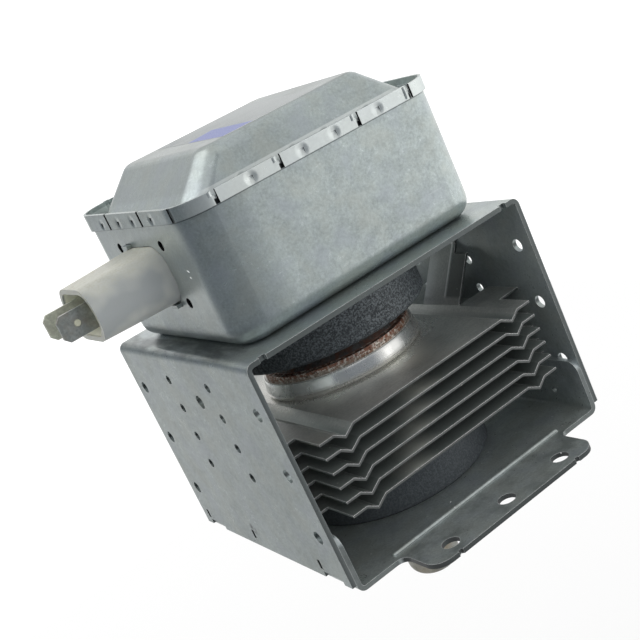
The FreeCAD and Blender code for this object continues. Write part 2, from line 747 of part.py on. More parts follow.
def antenna_lead_line(radius):
    """The lead's run: down from a vane, slanting in to the axis, and down to the antenna's tip."""
    top = ANODE_MIDDLE - VANE_HEIGHT / 2
    stops = [
        V(ANTENNA_LEAD_X, 0, top),
        V(ANTENNA_LEAD_X, 0, ANTENNA_LEAD_BEND_Z),
        V(0, 0, ANTENNA_LEAD_AXIS_Z),
        V(0, 0, ANTENNA_CAP_TIP_Z + ANTENNA_CAP_SHEET),
    ]
    pieces = []
    for start, end in zip(stops, stops[1:]):
        run = end - start
        pieces.append(Part.makeCylinder(radius, run.Length, start, run))
    pieces += [Part.makeSphere(radius, stop) for stop in stops[1:-1]]
    return joined(pieces)


def antenna_ceramic():
    """Ceramic tube under the sleeve."""
    return ring(ANTENNA_CERAMIC_BORE, ANTENNA_CERAMIC_RADIUS, NECK_BOTTOM - ANTENNA_CERAMIC_LENGTH, NECK_BOTTOM)


def antenna_cap():
    """Drawn steel cap with a rounded closed end."""
    top = NECK_BOTTOM - ANTENNA_CERAMIC_LENGTH
    inner = ANTENNA_CAP_RADIUS - ANTENNA_CAP_SHEET
    floor = ANTENNA_CAP_TIP_Z + ANTENNA_CAP_SHEET
    return turned([
        (0, ANTENNA_CAP_TIP_Z),
        (ANTENNA_CAP_RADIUS, ANTENNA_CAP_TIP_Z, ANTENNA_CAP_EDGE),
        (ANTENNA_CAP_RADIUS, top),
        (inner, top),
        (inner, floor, ANTENNA_CAP_EDGE - ANTENNA_CAP_SHEET),
        (0, floor),
    ])


def rf_gasket():
    """Ring of knitted wire mesh round the sleeve, in its seat in the mounting plate."""
    inner = NECK_RADIUS + NECK_CLEARANCE
    edge = GASKET_RADIUS - GASKET_EDGE
    return turned([
        (inner, -GASKET_HEIGHT),
        (edge, -GASKET_HEIGHT),
        (GASKET_RADIUS, GASKET_EDGE - GASKET_HEIGHT),
        (GASKET_RADIUS, GASKET_SEAT_DEPTH),
        (inner, GASKET_SEAT_DEPTH),
    ])


def insulator_form(inset, x0, x1):
    """Tapered block with rounded corners along X, drawn in by an inset."""
    span = -BOX_HALF_X - INSULATOR_MOUTH_X
    sections = []
    for x in (x0, x1):
        share = (x - INSULATOR_MOUTH_X) / span
        half_y = INSULATOR_MOUTH_HALF_Y + (INSULATOR_HALF_Y - INSULATOR_MOUTH_HALF_Y) * share - inset
        half_z = INSULATOR_MOUTH_HALF_Z + (INSULATOR_HALF_Z - INSULATOR_MOUTH_HALF_Z) * share - inset
        corners = [(-half_y, -half_z), (half_y, -half_z), (half_y, half_z), (-half_y, half_z)]
        radius = INSULATOR_CORNER - inset
        sections.append(outline([(V(x, y, TERMINAL_Z + z), radius) for y, z in corners]))
    return Part.makeLoft(sections, True, True)


def terminal_insulator():
    """Open plastic sleeve round the two blades."""
    outer = insulator_form(0, INSULATOR_MOUTH_X, CAPACITOR_OUTER_X)
    inner = insulator_form(INSULATOR_WALL, INSULATOR_MOUTH_X - MARGIN, CAPACITOR_OUTER_X + MARGIN)
    return outer.cut(inner)


def plate_holes(x0, x1):
    """The four small holes round the insulator."""
    holes = []
    for y in (-PLATE_HOLE_Y, PLATE_HOLE_Y):
        for z in (TERMINAL_Z - PLATE_HOLE_Z, TERMINAL_Z + PLATE_HOLE_Z):
            holes.append(cross_rod(PLATE_HOLE_RADIUS, x0, x1, y, z))
    return holes


def ground_tabs(clearance):
    """Two small tabs that reach out through the wall at opposite corners of the insulator."""
    tabs = []
    for side in (-1, 1):
        z = TERMINAL_Z + side * (INSULATOR_HALF_Z + GROUND_PLATE_SHEET / 2 + INSULATOR_CLEARANCE)
        y0 = side * GROUND_TAB_Y - GROUND_TAB_LENGTH / 2 - clearance
        y1 = side * GROUND_TAB_Y + GROUND_TAB_LENGTH / 2 + clearance
        half = GROUND_PLATE_SHEET / 2 + clearance
        reach = GROUND_TAB_REACH + clearance
        tabs.append(block(-BOX_HALF_X - reach, CAPACITOR_OUTER_X, y0, y1, z - half, z + half))
    return tabs


def capacitor_ground_plate():
    """Plate on the wall's inner face that holds the insulator and the capacitor."""
    half_y, half_z = GROUND_PLATE_HALF_Y, GROUND_PLATE_HALF_Z
    corners = [(-half_y, -half_z), (half_y, -half_z), (half_y, half_z), (-half_y, half_z)]
    face = [(V(WALL_INNER_X, y, TERMINAL_Z + z), GROUND_PLATE_CORNER) for y, z in corners]
    body = joined([plate(face, V(GROUND_PLATE_SHEET, 0, 0))] + ground_tabs(0))
    tools = [insulator_form(-INSULATOR_CLEARANCE, INSULATOR_MOUTH_X, 0)]
    tools += plate_holes(WALL_INNER_X - MARGIN, WALL_INNER_X + 2 * MARGIN)
    return body.cut(tools)


def terminal(side):
    """Flat blade with a chamfered tip and a hole, narrowed where it runs through the capacitor."""
    wide = BLADE_WIDTH / 2
    narrow = BLADE_INNER_WIDTH / 2
    chamfer_x = BLADE_TIP_X + BLADE_CHAMFER
    y = side * TERMINAL_Y - BLADE_SHEET / 2
    half = [
        (BLADE_TIP_X, wide - BLADE_CHAMFER),
        (chamfer_x, wide),
        (CAPACITOR_OUTER_X, wide),
        (CAPACITOR_OUTER_X, narrow),
        (BLADE_INNER_X, narrow),
    ]
    points = [(x, y, TERMINAL_Z + z) for x, z in half]
    points += [(x, y, TERMINAL_Z - z) for x, z in reversed(half)]
    blade = plate(sharp(points), V(0, BLADE_SHEET, 0))
    hole = Part.makeCylinder(BLADE_HOLE_RADIUS, BLADE_SHEET + 2 * MARGIN,
                             V(BLADE_TIP_X + BLADE_HOLE_SETBACK, y - MARGIN, TERMINAL_Z), V(0, 1, 0))
    return blade.cut(hole)


def capacitor_body():
    """Potted capacitor behind the ground plate, with a slot for each blade."""
    half_y, half_z = CAPACITOR_HALF_Y, CAPACITOR_HALF_Z
    corners = [(-half_y, -half_z), (half_y, -half_z), (half_y, half_z), (-half_y, half_z)]
    face = [(V(CAPACITOR_OUTER_X, y, TERMINAL_Z + z), CAPACITOR_CORNER) for y, z in corners]
    body = plate(face, V(CAPACITOR_INNER_X - CAPACITOR_OUTER_X, 0, 0))
    return body.cut([terminal(-1), terminal(1)])


def filter_box():
    """Deep drawn box with rounded corners, open at the top."""
    body = rounded_block(BOX_HALF_X, BOX_HALF_Y, BOX_CORNER, YOKE_TOP, BOX_TOP)
    body = body.makeFillet(BOX_BOTTOM_RADIUS, edges_level(body, YOKE_TOP))
    floor = YOKE_TOP + BOX_SHEET
    inside = rounded_block(BOX_HALF_X - BOX_SHEET, BOX_HALF_Y - BOX_SHEET, BOX_CORNER - BOX_SHEET, floor,
                           BOX_TOP + MARGIN)
    inside = inside.makeFillet(BOX_BOTTOM_RADIUS - BOX_SHEET, edges_level(inside, floor))
    tools = [inside, rod(NECK_RADIUS + NECK_CLEARANCE, YOKE_TOP - MARGIN, floor + MARGIN)]
    for x, y in rivet_places():
        tools.append(rod(RIVET_RADIUS, YOKE_TOP - MARGIN, floor + MARGIN, x, y))
    tools.append(insulator_form(-INSULATOR_CLEARANCE, INSULATOR_MOUTH_X, 0))
    tools += plate_holes(-BOX_HALF_X - MARGIN, WALL_INNER_X + MARGIN)
    tools += ground_tabs(INSULATOR_CLEARANCE)
    return body.cut(tools)


def box_rivets():
    """Four rivets through the box's floor and the yoke's top plate."""
    floor = YOKE_TOP + BOX_SHEET
    rivets = []
    for x, y in rivet_places():
        rivet = turned([
            (0, TOP_UNDERSIDE - RIVET_HEAD_HEIGHT),
            (RIVET_HEAD_RADIUS, TOP_UNDERSIDE - RIVET_HEAD_HEIGHT),
            (RIVET_HEAD_RADIUS, TOP_UNDERSIDE),
            (RIVET_RADIUS, TOP_UNDERSIDE),
            (RIVET_RADIUS, floor),
            (RIVET_HEAD_RADIUS, floor),
            (RIVET_HEAD_RADIUS, floor + RIVET_HEAD_HEIGHT),
            (0, floor + RIVET_HEAD_HEIGHT),
        ])
        rivets.append(rivet.translated(V(x, y, 0)))
    return Part.makeCompound(rivets)


def dome(inset):
    """Raised middle of the lid: steep front and back, slanted sides, rounded shoulder."""
    top_x = BOX_HALF_X - TROUGH_WIDTH_X - DOME_SLOPE_X
    top_y = BOX_HALF_Y - TROUGH_WIDTH_Y - DOME_SLOPE_Y
    lean_x = DOME_SLOPE_X / DOME_HEIGHT
    lean_y = DOME_SLOPE_Y / DOME_HEIGHT
    lean_corner = (DOME_BASE_CORNER - DOME_TOP_CORNER) / DOME_HEIGHT
    bottom = TROUGH_TOP - LID_SHEET - (MARGIN if inset else 0)
    top = DOME_TOP - inset
    sections = []
    for z in (bottom, top):
        drop = DOME_TOP - z
        half_x = top_x + lean_x * drop - inset * math.hypot(1, lean_x)
        half_y = top_y + lean_y * drop - inset * math.hypot(1, lean_y)
        sections.append(rounded_rectangle(half_x, half_y, DOME_TOP_CORNER + lean_corner * drop - inset, z))
    solid = Part.makeLoft(sections, True, True)
    return solid.makeFillet(DOME_SHOULDER - inset, edges_level(solid, top))


def rim_slits():
    """Cuts that divide the rim's outer band into tabs."""
    far_x = BOX_HALF_X + LID_SHEET + MARGIN
    far_y = BOX_HALF_Y + LID_SHEET + MARGIN
    half = SLIT_WIDTH / 2
    z0, z1 = RIM_BOTTOM - MARGIN, RIM_TOP + RIM_REAR_RISE + MARGIN
    cuts = []
    for x in SLIT_X:
        cuts.append(block(x - half, x + half, BOX_HALF_Y, far_y, z0, z1))
        cuts.append(block(x - half, x + half, -far_y, -BOX_HALF_Y, z0, z1))
    for y in SLIT_Y:
        cuts.append(block(BOX_HALF_X, far_x, y - half, y + half, z0, z1))
        cuts.append(block(-far_x, -BOX_HALF_X, y - half, y + half, z0, z1))
    return cuts


def dimple(place, face):
    """Wedge-shaped punch mark in the rim on the -Y side, deepest at its top."""
    top = RIM_TOP - DIMPLE_TOP_GAP
    x = place - DIMPLE_WIDTH / 2
    points = [
        (x, -face - MARGIN, top),
        (x, -face + DIMPLE_DEPTH, top),
        (x, -face, top - DIMPLE_HEIGHT),
        (x, -face - MARGIN, top - DIMPLE_HEIGHT),
    ]
    return plate(sharp(points), V(DIMPLE_WIDTH, 0, 0))


def rim_dimples():
    """Punch marks on the front and back, and the same turned by a quarter for both ends."""
    marks = []
    for turn, places, face in ((0, DIMPLE_X, BOX_HALF_Y + LID_SHEET), (-90, DIMPLE_Y, BOX_HALF_X + LID_SHEET)):
        for place in places:
            for half_turn in (0, 180):
                mark = dimple(place if turn == 0 else -place, face)
                marks.append(mark.rotated(V(0, 0, 0), V(0, 0, 1), turn + half_turn))
    return marks


def rim_slope():
    """Wedge over the rim: the rim stands a little higher at the back than at the front."""
    far_x = BOX_HALF_X + LID_SHEET + MARGIN
    far_y = BOX_HALF_Y + LID_SHEET
    high = RIM_TOP + RIM_REAR_RISE
    points = [
        (-far_x, -far_y - MARGIN, RIM_TOP),
        (-far_x, -far_y, RIM_TOP),
        (-far_x, far_y, high),
        (-far_x, far_y, high + MARGIN),
        (-far_x, -far_y - MARGIN, high + MARGIN),
    ]
    return plate(sharp(points), V(2 * far_x, 0, 0))


def filter_lid():
    """Lid with a dome, a trough round it, and a rim folded down over the box's wall."""
    rim = rounded_block(BOX_HALF_X + LID_SHEET, BOX_HALF_Y + LID_SHEET, BOX_CORNER + LID_SHEET, RIM_BOTTOM,
                        RIM_TOP + RIM_REAR_RISE)
    trough = rounded_block(BOX_HALF_X, BOX_HALF_Y, BOX_CORNER, TROUGH_TOP, RIM_TOP + RIM_REAR_RISE + MARGIN)
    pocket = rounded_block(BOX_HALF_X, BOX_HALF_Y, BOX_CORNER, RIM_BOTTOM - MARGIN, BOX_TOP)
    body = joined([rim.cut([trough, pocket, rim_slope()]), dome(0)])
    return body.cut([dome(LID_SHEET)] + rim_slits() + rim_dimples())


def lid_label():
    """Thin foil on the lid's flat top."""
    foil = rounded_block(LABEL_WIDTH / 2, LABEL_LENGTH / 2, LABEL_CORNER, DOME_TOP, DOME_TOP + LABEL_SHEET)
    return foil.rotated(V(0, 0, 0), V(0, 0, 1), LABEL_TURN).translated(V(LABEL_X, LABEL_Y, 0))


def choke_core(side):
    """Ferrite rod along X."""
    return cross_rod(CORE_RADIUS, -CORE_LENGTH / 2, CORE_LENGTH / 2, side * CHOKE_Y, CHOKE_Z)


def choke_coil(side, lead_y):
    """Coil about its rod, with a tail to a terminal and a tail to a cathode lead."""
    length = COIL_TURNS * COIL_PITCH
    touch_terminal = TERMINAL_Y + BLADE_SHEET / 2 + COIL_WIRE_RADIUS
    touch_lead = abs(lead_y) + LEAD_RADIUS + COIL_WIRE_RADIUS
    near = CHOKE_Y - COIL_RADIUS
    coil = []
    for point in helix_points(COIL_RADIUS, COIL_PITCH, COIL_TURNS, COIL_STEPS):
        coil.append(V(point.z - length / 2, CHOKE_Y - point.x, CHOKE_Z + point.y))
    first = [
        V(BLADE_INNER_X - 2 * MARGIN, touch_terminal, TERMINAL_Z),
        V(BLADE_INNER_X + 2 * MARGIN, touch_terminal, TERMINAL_Z),
        V(-length / 2 - COIL_PITCH, near, CHOKE_Z - 2 * COIL_WIRE_RADIUS),
    ]
    lead_z = LEAD_TOP - COIL_WIRE_RADIUS
    last = [
        V(length / 2 + COIL_PITCH / 2, near, CHOKE_Z + 2 * COIL_WIRE_RADIUS),
        V(length / 2 + COIL_PITCH, near - COIL_RADIUS / 2, CHOKE_Z),
        V(length / 3, touch_lead + COIL_RADIUS / 2, lead_z),
        V(-COIL_WIRE_RADIUS, touch_lead, lead_z),
    ]
    points = [V(p.x, side * p.y, p.z) for p in first + coil + last]
    return wire_tube(points, COIL_WIRE_RADIUS, COIL_SIDES)


def save(name, shape):
    """Write one node, after a check that every solid in it is sound."""
    if not shape.isValid() or not shape.Solids:
        raise RuntimeError(name + " is not a valid solid")
    shape.exportStep("parts/" + name + ".step")


def cathode():
    """The filament, its end shields and its two leads."""
    half = VANE_HEIGHT / 2
    lower_z = ANODE_MIDDLE - half - SHIELD_SHEET
    upper_z = ANODE_MIDDLE + half
    save("lower_end_shield", end_shield(lower_z, LEAD_RADIUS))
    save("upper_end_shield", end_shield(upper_z, LEAD_RADIUS + LEAD_CLEARANCE))
    save("cathode_filament", cathode_filament(lower_z + SHIELD_SHEET, upper_z))
    save("cathode_center_lead", rod(LEAD_RADIUS, lower_z, LEAD_TOP))
    save("cathode_side_lead", rod(LEAD_RADIUS, upper_z + SHIELD_SHEET, LEAD_TOP, 0, SIDE_LEAD_Y))


def main():
    save("upper_yoke", upper_yoke())
    save("lower_yoke", lower_yoke())
    save("lower_magnet", magnet(YOKE_SHEET))
    save("upper_magnet", magnet(UPPER_MAGNET_BOTTOM))
    for index in range(FIN_COUNT):
        save("cooling_fin_" + str(index + 1), fin(index))
    save("anode_shell", anode_shell())
    save("anode_vanes", anode_vanes())
    save("strap_rings_lower", strap_rings(ANODE_MIDDLE - VANE_HEIGHT / 2))
    save("strap_rings_upper", strap_rings(ANODE_MIDDLE + VANE_HEIGHT / 2 - STRAP_HEIGHT))
    save("upper_pole_piece", pole_piece(1))
    save("lower_pole_piece", lower_pole_piece())
    save("upper_seal_cap", upper_seal_cap())
    save("lower_seal_cap", lower_seal_cap())
    cathode()
    save("stem_ceramic", stem_ceramic())
    save("antenna_lead", antenna_lead_line(ANTENNA_LEAD_RADIUS))
    save("antenna_ceramic", antenna_ceramic())
    save("antenna_cap", antenna_cap())
    save("rf_gasket", rf_gasket())
    save("filter_box", filter_box())
    save("filter_lid", filter_lid())
    save("lid_label", lid_label())
    save("box_rivets", box_rivets())
    save("terminal_insulator", terminal_insulator())
    save("capacitor_ground_plate", capacitor_ground_plate())
    save("capacitor_body", capacitor_body())
    save("terminal_front", terminal(-1))
    save("terminal_rear", terminal(1))
    save("choke_core_a", choke_core(1))
    save("choke_core_b", choke_core(-1))
    save("choke_coil_a", choke_coil(1, 0.0))
    save("choke_coil_b", choke_coil(-1, SIDE_LEAD_Y))


main()
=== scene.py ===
import json
import math

import bpy
from mathutils import Euler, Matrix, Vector
from mathutils.bvhtree import BVHTree


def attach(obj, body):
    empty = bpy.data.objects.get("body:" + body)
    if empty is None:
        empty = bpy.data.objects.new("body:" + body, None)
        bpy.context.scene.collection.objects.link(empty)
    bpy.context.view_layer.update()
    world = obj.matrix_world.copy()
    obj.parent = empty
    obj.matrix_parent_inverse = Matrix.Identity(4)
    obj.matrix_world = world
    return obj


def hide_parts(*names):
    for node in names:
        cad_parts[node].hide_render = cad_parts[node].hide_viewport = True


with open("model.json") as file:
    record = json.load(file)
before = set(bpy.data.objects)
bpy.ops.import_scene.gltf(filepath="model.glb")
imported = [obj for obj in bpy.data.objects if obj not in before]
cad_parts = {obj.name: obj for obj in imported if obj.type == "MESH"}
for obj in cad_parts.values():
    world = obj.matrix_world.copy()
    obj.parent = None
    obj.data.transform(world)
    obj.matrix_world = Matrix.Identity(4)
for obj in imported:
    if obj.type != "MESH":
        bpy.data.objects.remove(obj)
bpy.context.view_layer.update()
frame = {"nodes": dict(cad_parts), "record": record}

MM = 0.001
ROOT = "root"
nodes = frame["nodes"]
record = frame["record"]

# Camera, worked out from the yoke's corners in the picture
CAMERA_PLACE = (-0.118646, -0.24547, 0.122227)
CAMERA_TURN = (72.8995, 23.9649, -32.6528)
FOCAL_PIXELS = 1123.06
PICTURE_PIXELS = 640
SENSOR_MM = 36.0
NEAREST_SEEN = 0.01

# Floor, in metres; its glow is full beyond the far radius and a little weaker under the part
FLOOR_Z = -0.105
FLOOR_HALF = 0.3
FLOOR_NEAR, FLOOR_FAR = 0.10, 0.27
FLOOR_NEAR_GLOW = 0.8
GLOSSY_FLOOR = 0.15

# Lamps: direction from the part, and watts
FRONT_LAMP = ((0.12, -0.95, 0.2), 4.3)
ABOVE_LAMP = ((-0.3, 0.35, 0.9), 0.4)
LAMP_AIM = (0, 0, 0.045)
LAMP_DISTANCE = 1.0
LAMP_SIDE = 0.8

# Room that mirror-like rays see: how bright each part of it is
ROOM_POWER = 0.155
WINDOW_POWER = 1.13
KEY_POWER = 1.06
UPPER_POWER = 0.78
LEFT_POWER = 0.41
CEILING_POWER = 0.65
# Sectors of the compass: start and width, and how soft the two ends are, in degrees
WINDOW_SECTOR = (283, 190, 22, 34)
KEY_SECTOR = (98, 120, 8, 40)
UPPER_SECTOR = (98, 218, 8, 60)
# Bands of elevation: low end and its softness, high end and its softness, in degrees
KEY_BAND = (24, 8, 84, 16)
UPPER_BAND = (26, 14, 88, 14)
# The window fades below and above: two elevations, and the brightness at each
WINDOW_BELOW = (-40.0, -12.0, 0.4, 1.0)
WINDOW_ABOVE = (-5.0, 32.0, 1.0, 0.56)
CEILING_RISE = (55.0, 85.0)
# Round glow at the left: its compass direction and elevation, and the cosines at its border and its core
LEFT_SIDE = (107, -22)
LEFT_SPOT = (0.86, 0.985)
# The room's dim parts are cooler than its bright ones
DIM_TO_BRIGHT = (0.12, 0.6)
DIM_TINT = (0.86, 0.98, 1.12)
BRIGHT_TINT = (1, 1, 0.99)
WHITE = (1, 1, 1)

# Places on the part that finishes follow, in millimetres
RIM_BOTTOM = 89.4
RIM_TOP = 92.6
UNDER_TOP_FIN = 33.8
LOWER_RING_TOP = 14
UPPER_RING_BOTTOM = 44
TERMINAL_Z = 77.1
# Half width and half height of the opening in the cream sleeve
SLEEVE_OPENING = (9.95, 5.55)
# Ramps: a mark is absent at the first number and full at the second
PANEL_INSIDE = (39.5, 39.2)
PANEL_OUTSIDE = (-39.4, -39.6)
YOKE_TOP_INSIDE = (57.3, 57.0)
YOKE_TOP_OUTSIDE = (57.0, 57.9)
LID_TOP_Z = (98.6, 99.9)
FRONT_SLIT_Y = (-31.6, -31.9)
SIDE_SLIT_X = (34.9, 35.1)
SIDE_SLIT_Y = (31.0, 30.5)
BOX_LIGHTER_Z = (63.0, 68.0)
BOX_DARKER_Z = (63.5, 61.0)
BOX_WALL_X = (34.2, 34.4)
BOX_HOLES_Y = (27.5, 27.0)
BOX_HOLES_Z = (65.0, 65.5)
PLATE_END_Y = (38.6, 39.2)
SHEEN_RING = (28.0, 21.0)
FLAP_X = (29.5, 30.0)
FLAP_Z = (35.3, 35.6)
CAP_FLANGE = (40.7, 40.5)
SLEEVE_MOUTH_X = (-54.4, -53.9)
# Ramps for how squarely a face looks along an axis
NEARLY_SQUARE = (0.8, 0.95)
SQUARE = (0.9, 0.99)
STEEP = (0.6, 0.4)
# Round dents along the front and the left rim, and how far they reach, squared
DIMPLE_X = (-17.6, -3.8, 5.2, 17.8)
DIMPLE_Y = (-16.6, -5.1, 4.0, 15.5)
DIMPLE_Z = 90.9
DIMPLE_REACH_SQUARED = 4.2
# Bow of the box's front wall beside its left corner: where it begins, and millimetres per square millimetre
CORNER_BOW_X = -18.0
CORNER_BOW = 0.0055
# Dark blot beside the slot in the left panel: y and z, and a ramp of the distance from there, squared
BLOT = (5.6, 7.6)
BLOT_REACH_SQUARED = (3.4, 1.0)
# Streak of light on the lower fins, where x less a share of z is this much
STREAK_SLANT = -0.6
STREAK_PLACE = -21.8
# Bright reflections on the top fin: x, y, reach and share
FIN_GLINTS = ((3.5, -24.5, 9.0, 0.9), (-16.0, -19.5, 7.0, 0.5))

# Burrs on the front rim: left and right end, low and high end, bulge
RIM_FRONT_Y = 32.68
RIM_CURLS = (
    (25.7, 26.75, 89.7, 92.45, 0.34),
    (-11.5, -10.45, 91.3, 92.5, 0.25),
    (10.3, 11.35, 91.2, 92.5, 0.25),
    (-28.4, -27.45, 91.4, 92.5, 0.2),
)
# Folded over slit in the rear rim, closed as in the picture: the same numbers, and the face it lies in
REAR_FOLD = (-27.6, -26.0, 90.4, 94.0, 0.12)
REAR_FOLD_Y = 32.38
CURL_CELLS = (8, 6)
# Specks and nicks: place, facing, half length, half width, turn in degrees
CHIPS = (
    ((-35.2, -21.26, 77.99), (-1, 0, 0), 0.7, 0.15, 25),
    ((-35.2, -21.14, 76.41), (-1, 0, 0), 0.5, 0.13, 10),
    ((13.9, -23.9, 1.2), (0, 0, 1), 0.32, 0.22, 30),
    ((9.4, -26.6, 1.2), (0, 0, 1), 0.2, 0.15, 80),
    ((-6.0, -32.2, 1.2), (0, 0, 1), 0.34, 0.2, 140),
    ((-12.5, -31.0, 1.2), (0, 0, 1), 0.22, 0.16, 60),
    ((4.5, -35.9, 15.5), (0, 0, 1), 0.3, 0.22, 20),
)
CHIP_SIDES = 9
# Rings of a chip: share of its size, and height
CHIP_RINGS = ((1.0, -0.02), (0.72, 0.09), (0.3, 0.14))
# Corners of the label: left and right end of its front edge and of its rear edge, and cells each way
LABEL_FRONT = ((-15.3, -23.5), (10.1, -23.6))
LABEL_REAR = ((-12.1, 21.2), (15.4, 22.6))
LABEL_CELLS = (40, 70)
LABEL_LIFT = 0.06
ABOVE_LID = 120.0
# Painted light in the hole of the front blade, as a pale plug: centre, radius, half depth
BLADE_HOLE_LIGHT = ((-57.6, -5.0, 77.1), 0.82, 0.36)
DOT_SIDES = 28
# Rings of the dot: share of its radius, and place between its two faces
DOT_RINGS = ((0.55, -0.99), (0.9, -0.9), (1.0, -0.75), (1.0, 0.75), (0.9, 0.9), (0.55, 0.99))
# Slightly flared sleeve over the top fin's collar: radius and height
COLLAR_STEPS = 144
COLLAR_PROFILE = (
    (20.32, 38.62), (20.38, 38.68), (20.45, 38.6), (20.68, 37.6), (20.91, 36.6), (21.12, 35.7), (21.1, 35.52),
    (20.9, 35.42), (20.4, 35.5), (20.32, 36.5),
)

# Colours as linear red, green and blue. A pair is the darker and the lighter tone of one surface
ZINC = ((0.385, 0.432, 0.43), (0.46, 0.515, 0.51))
ZINC_LID = ((0.385, 0.432, 0.43), (0.45, 0.505, 0.50))
ZINC_PLATE = ((0.46, 0.51, 0.505), (0.57, 0.62, 0.61))
ZINC_COOL = (0.415, 0.455, 0.50)
ZINC_WARM = (0.45, 0.475, 0.44)
ZINC_ROLLED = (0.60, 0.63, 0.63)
ZINC_SCRATCH = (0.70, 0.72, 0.72)
# Painted highlight on the sheet's upper edges
ZINC_EDGE_HIGHLIGHT = (0.86, 0.89, 0.88)
# The sheet's tones are drawn apart by these factors
DARKER, LIGHTER = 0.86, 1.13
EDGE_SHADOW = (0.05, 0.055, 0.06)
# Painted shade on shear cut faces
SHEAR_CUT_SHADE = (0.075, 0.085, 0.085)
SLIT_SHADOW = (0.02, 0.022, 0.024)
# Painted shade on the yoke's faces that look left
YOKE_LEFT_SHADE = (0.24, 0.265, 0.255)
# Painted shade on the yoke's top beside the box
YOKE_TOP_SHADE = (0.11, 0.125, 0.13)
# Painted light on the lid's front rim band, and painted shade on its left slope and top
RIM_BAND_LIGHT = (0.78, 0.82, 0.81)
LID_LEFT_SHADE = (0.27, 0.295, 0.295)
LID_TOP_SHADE = (0.235, 0.26, 0.26)
# Painted light on the box's left wall, painted shade below it and a painted shadow line under the rim
BOX_LEFT_LIGHT = (0.60, 0.645, 0.635)
BOX_UNDER_SHADE = (0.15, 0.165, 0.165)
BOX_SEAM_SHADE = (0.035, 0.04, 0.045)
PLATE_STAIN = (0.24, 0.27, 0.265)
# Painted shade on the plate's cut ends
PLATE_CUT_SHADE = (0.028, 0.03, 0.032)
PLATE_CHIP = (0.80, 0.82, 0.82)
FERRITE = ((0.026, 0.030, 0.034), (0.044, 0.050, 0.056))
FERRITE_CLEAN = (0.070, 0.079, 0.087)
FERRITE_SHADE = (0.014, 0.017, 0.020)
FERRITE_SPECKLE = (0.185, 0.21, 0.222)
FIN = ((0.40, 0.42, 0.408), (0.60, 0.61, 0.59))
FIN_WARM = (0.46, 0.43, 0.35)
# Painted shade on the lower fins and their fronts, and a painted sheen around the collar
FIN_LOWER_SHADE = (0.29, 0.33, 0.32)
FIN_FRONT_SHADE = (0.18, 0.205, 0.20)
FIN_RING_SHEEN = (0.84, 0.82, 0.77)
FIN_GLINT = (0.95, 0.95, 0.87)
# Painted shade on the fins' cut faces, and a painted highlight on their edges
FIN_CUT_SHADE = (0.11, 0.117, 0.115)
FIN_EDGE_HIGHLIGHT = (1.0, 1.0, 0.985)
FIN_EDGE_SHADOW = (0.02, 0.022, 0.022)
FIN_SPECK = (0.72, 0.72, 0.70)
# Painted highlight on the flaps' fold line, painted shade in front of it and painted light behind it
FLAP_FOLD_HIGHLIGHT = (0.90, 0.92, 0.91)
FLAP_SHADE = (0.13, 0.145, 0.145)
FLAP_LIGHT = (0.86, 0.88, 0.87)
COLLAR = ((0.89, 0.89, 0.87), (0.98, 0.975, 0.955))
COPPER = ((0.40, 0.21, 0.14), (0.42, 0.34, 0.28))
COPPER_CRUST = (0.86, 0.81, 0.75)
COPPER_PIT = (0.045, 0.035, 0.03)
COPPER_DUSTY = (0.40, 0.41, 0.37)
SEAL = ((0.075, 0.07, 0.068), (0.17, 0.16, 0.155))
SEAL_RUST = (0.20, 0.085, 0.05)
SEAL_FLANGE = ((0.33, 0.16, 0.11), (0.86, 0.80, 0.73))
SEAL_PIT = (0.05, 0.035, 0.03)
CREAM = ((0.56, 0.565, 0.505), (0.65, 0.65, 0.58))
# Painted shade on the faces in front
CREAM_FRONT_SHADE = (0.33, 0.35, 0.355)
CREAM_STAIN = (0.40, 0.39, 0.31)
# Painted light inside the opening
CREAM_INSIDE_LIGHT = (0.93, 0.93, 0.80)
CERAMIC = ((0.70, 0.63, 0.60), (0.80, 0.76, 0.73))
MESH_WIRE = ((0.05, 0.052, 0.055), (0.56, 0.57, 0.56))
ENAMEL = ((0.40, 0.13, 0.045), (0.55, 0.22, 0.08))
FOIL = ((0.265, 0.29, 0.30), (0.34, 0.365, 0.37))
FOIL_SMEAR = (0.25, 0.27, 0.28)
FOIL_RIGHT = (0.42, 0.445, 0.45)
FOIL_BLUE = (0.15, 0.185, 0.48)
FOIL_EDGE = (0.86, 0.87, 0.86)
CAP_STEEL = ((0.10, 0.10, 0.10), (0.22, 0.22, 0.215))
CAP_TINT = (0.13, 0.09, 0.075)
ANTENNA_STEEL = ((0.24, 0.243, 0.22), (0.42, 0.427, 0.40))
ANTENNA_TINT = (0.37, 0.31, 0.22)
IRON = ((0.16, 0.16, 0.16), (0.30, 0.30, 0.295))
TUNGSTEN = ((0.10, 0.10, 0.105), (0.22, 0.22, 0.225))
BRASS = ((0.31, 0.33, 0.315), (0.50, 0.52, 0.50))
BRASS_TINT = (0.38, 0.35, 0.30)
# A lighter copy of the brass for the rear blade: painted light where the front blade shades it
REAR_BRASS_LIT = ((0.50, 0.52, 0.43), (0.72, 0.74, 0.62))
REAR_BRASS_LIT_TINT = (0.50, 0.50, 0.42)
CHIP_METAL = ((0.55, 0.58, 0.57), (0.74, 0.77, 0.76))
CAPACITOR = ((0.045, 0.05, 0.06), (0.075, 0.08, 0.09))
CHOKE = ((0.03, 0.03, 0.032), (0.06, 0.06, 0.062))
# Painted light in the front blade's hole
HOLE_LIGHT_TONES = ((0.43, 0.43, 0.33), (0.52, 0.52, 0.41))
FLOOR_TONE = (0.9, 0.9, 0.9)
FLOOR_MIRRORED = (0.5, 0.5, 0.5)

# An edge line begins and is full at these differences between the rounded and the true facing
EDGE_BEGINS = 0.03
EDGE_FULL = 0.3
# Distance between the bands of Blender's wave texture at scale 1
WAVE_BAND = 0.31416


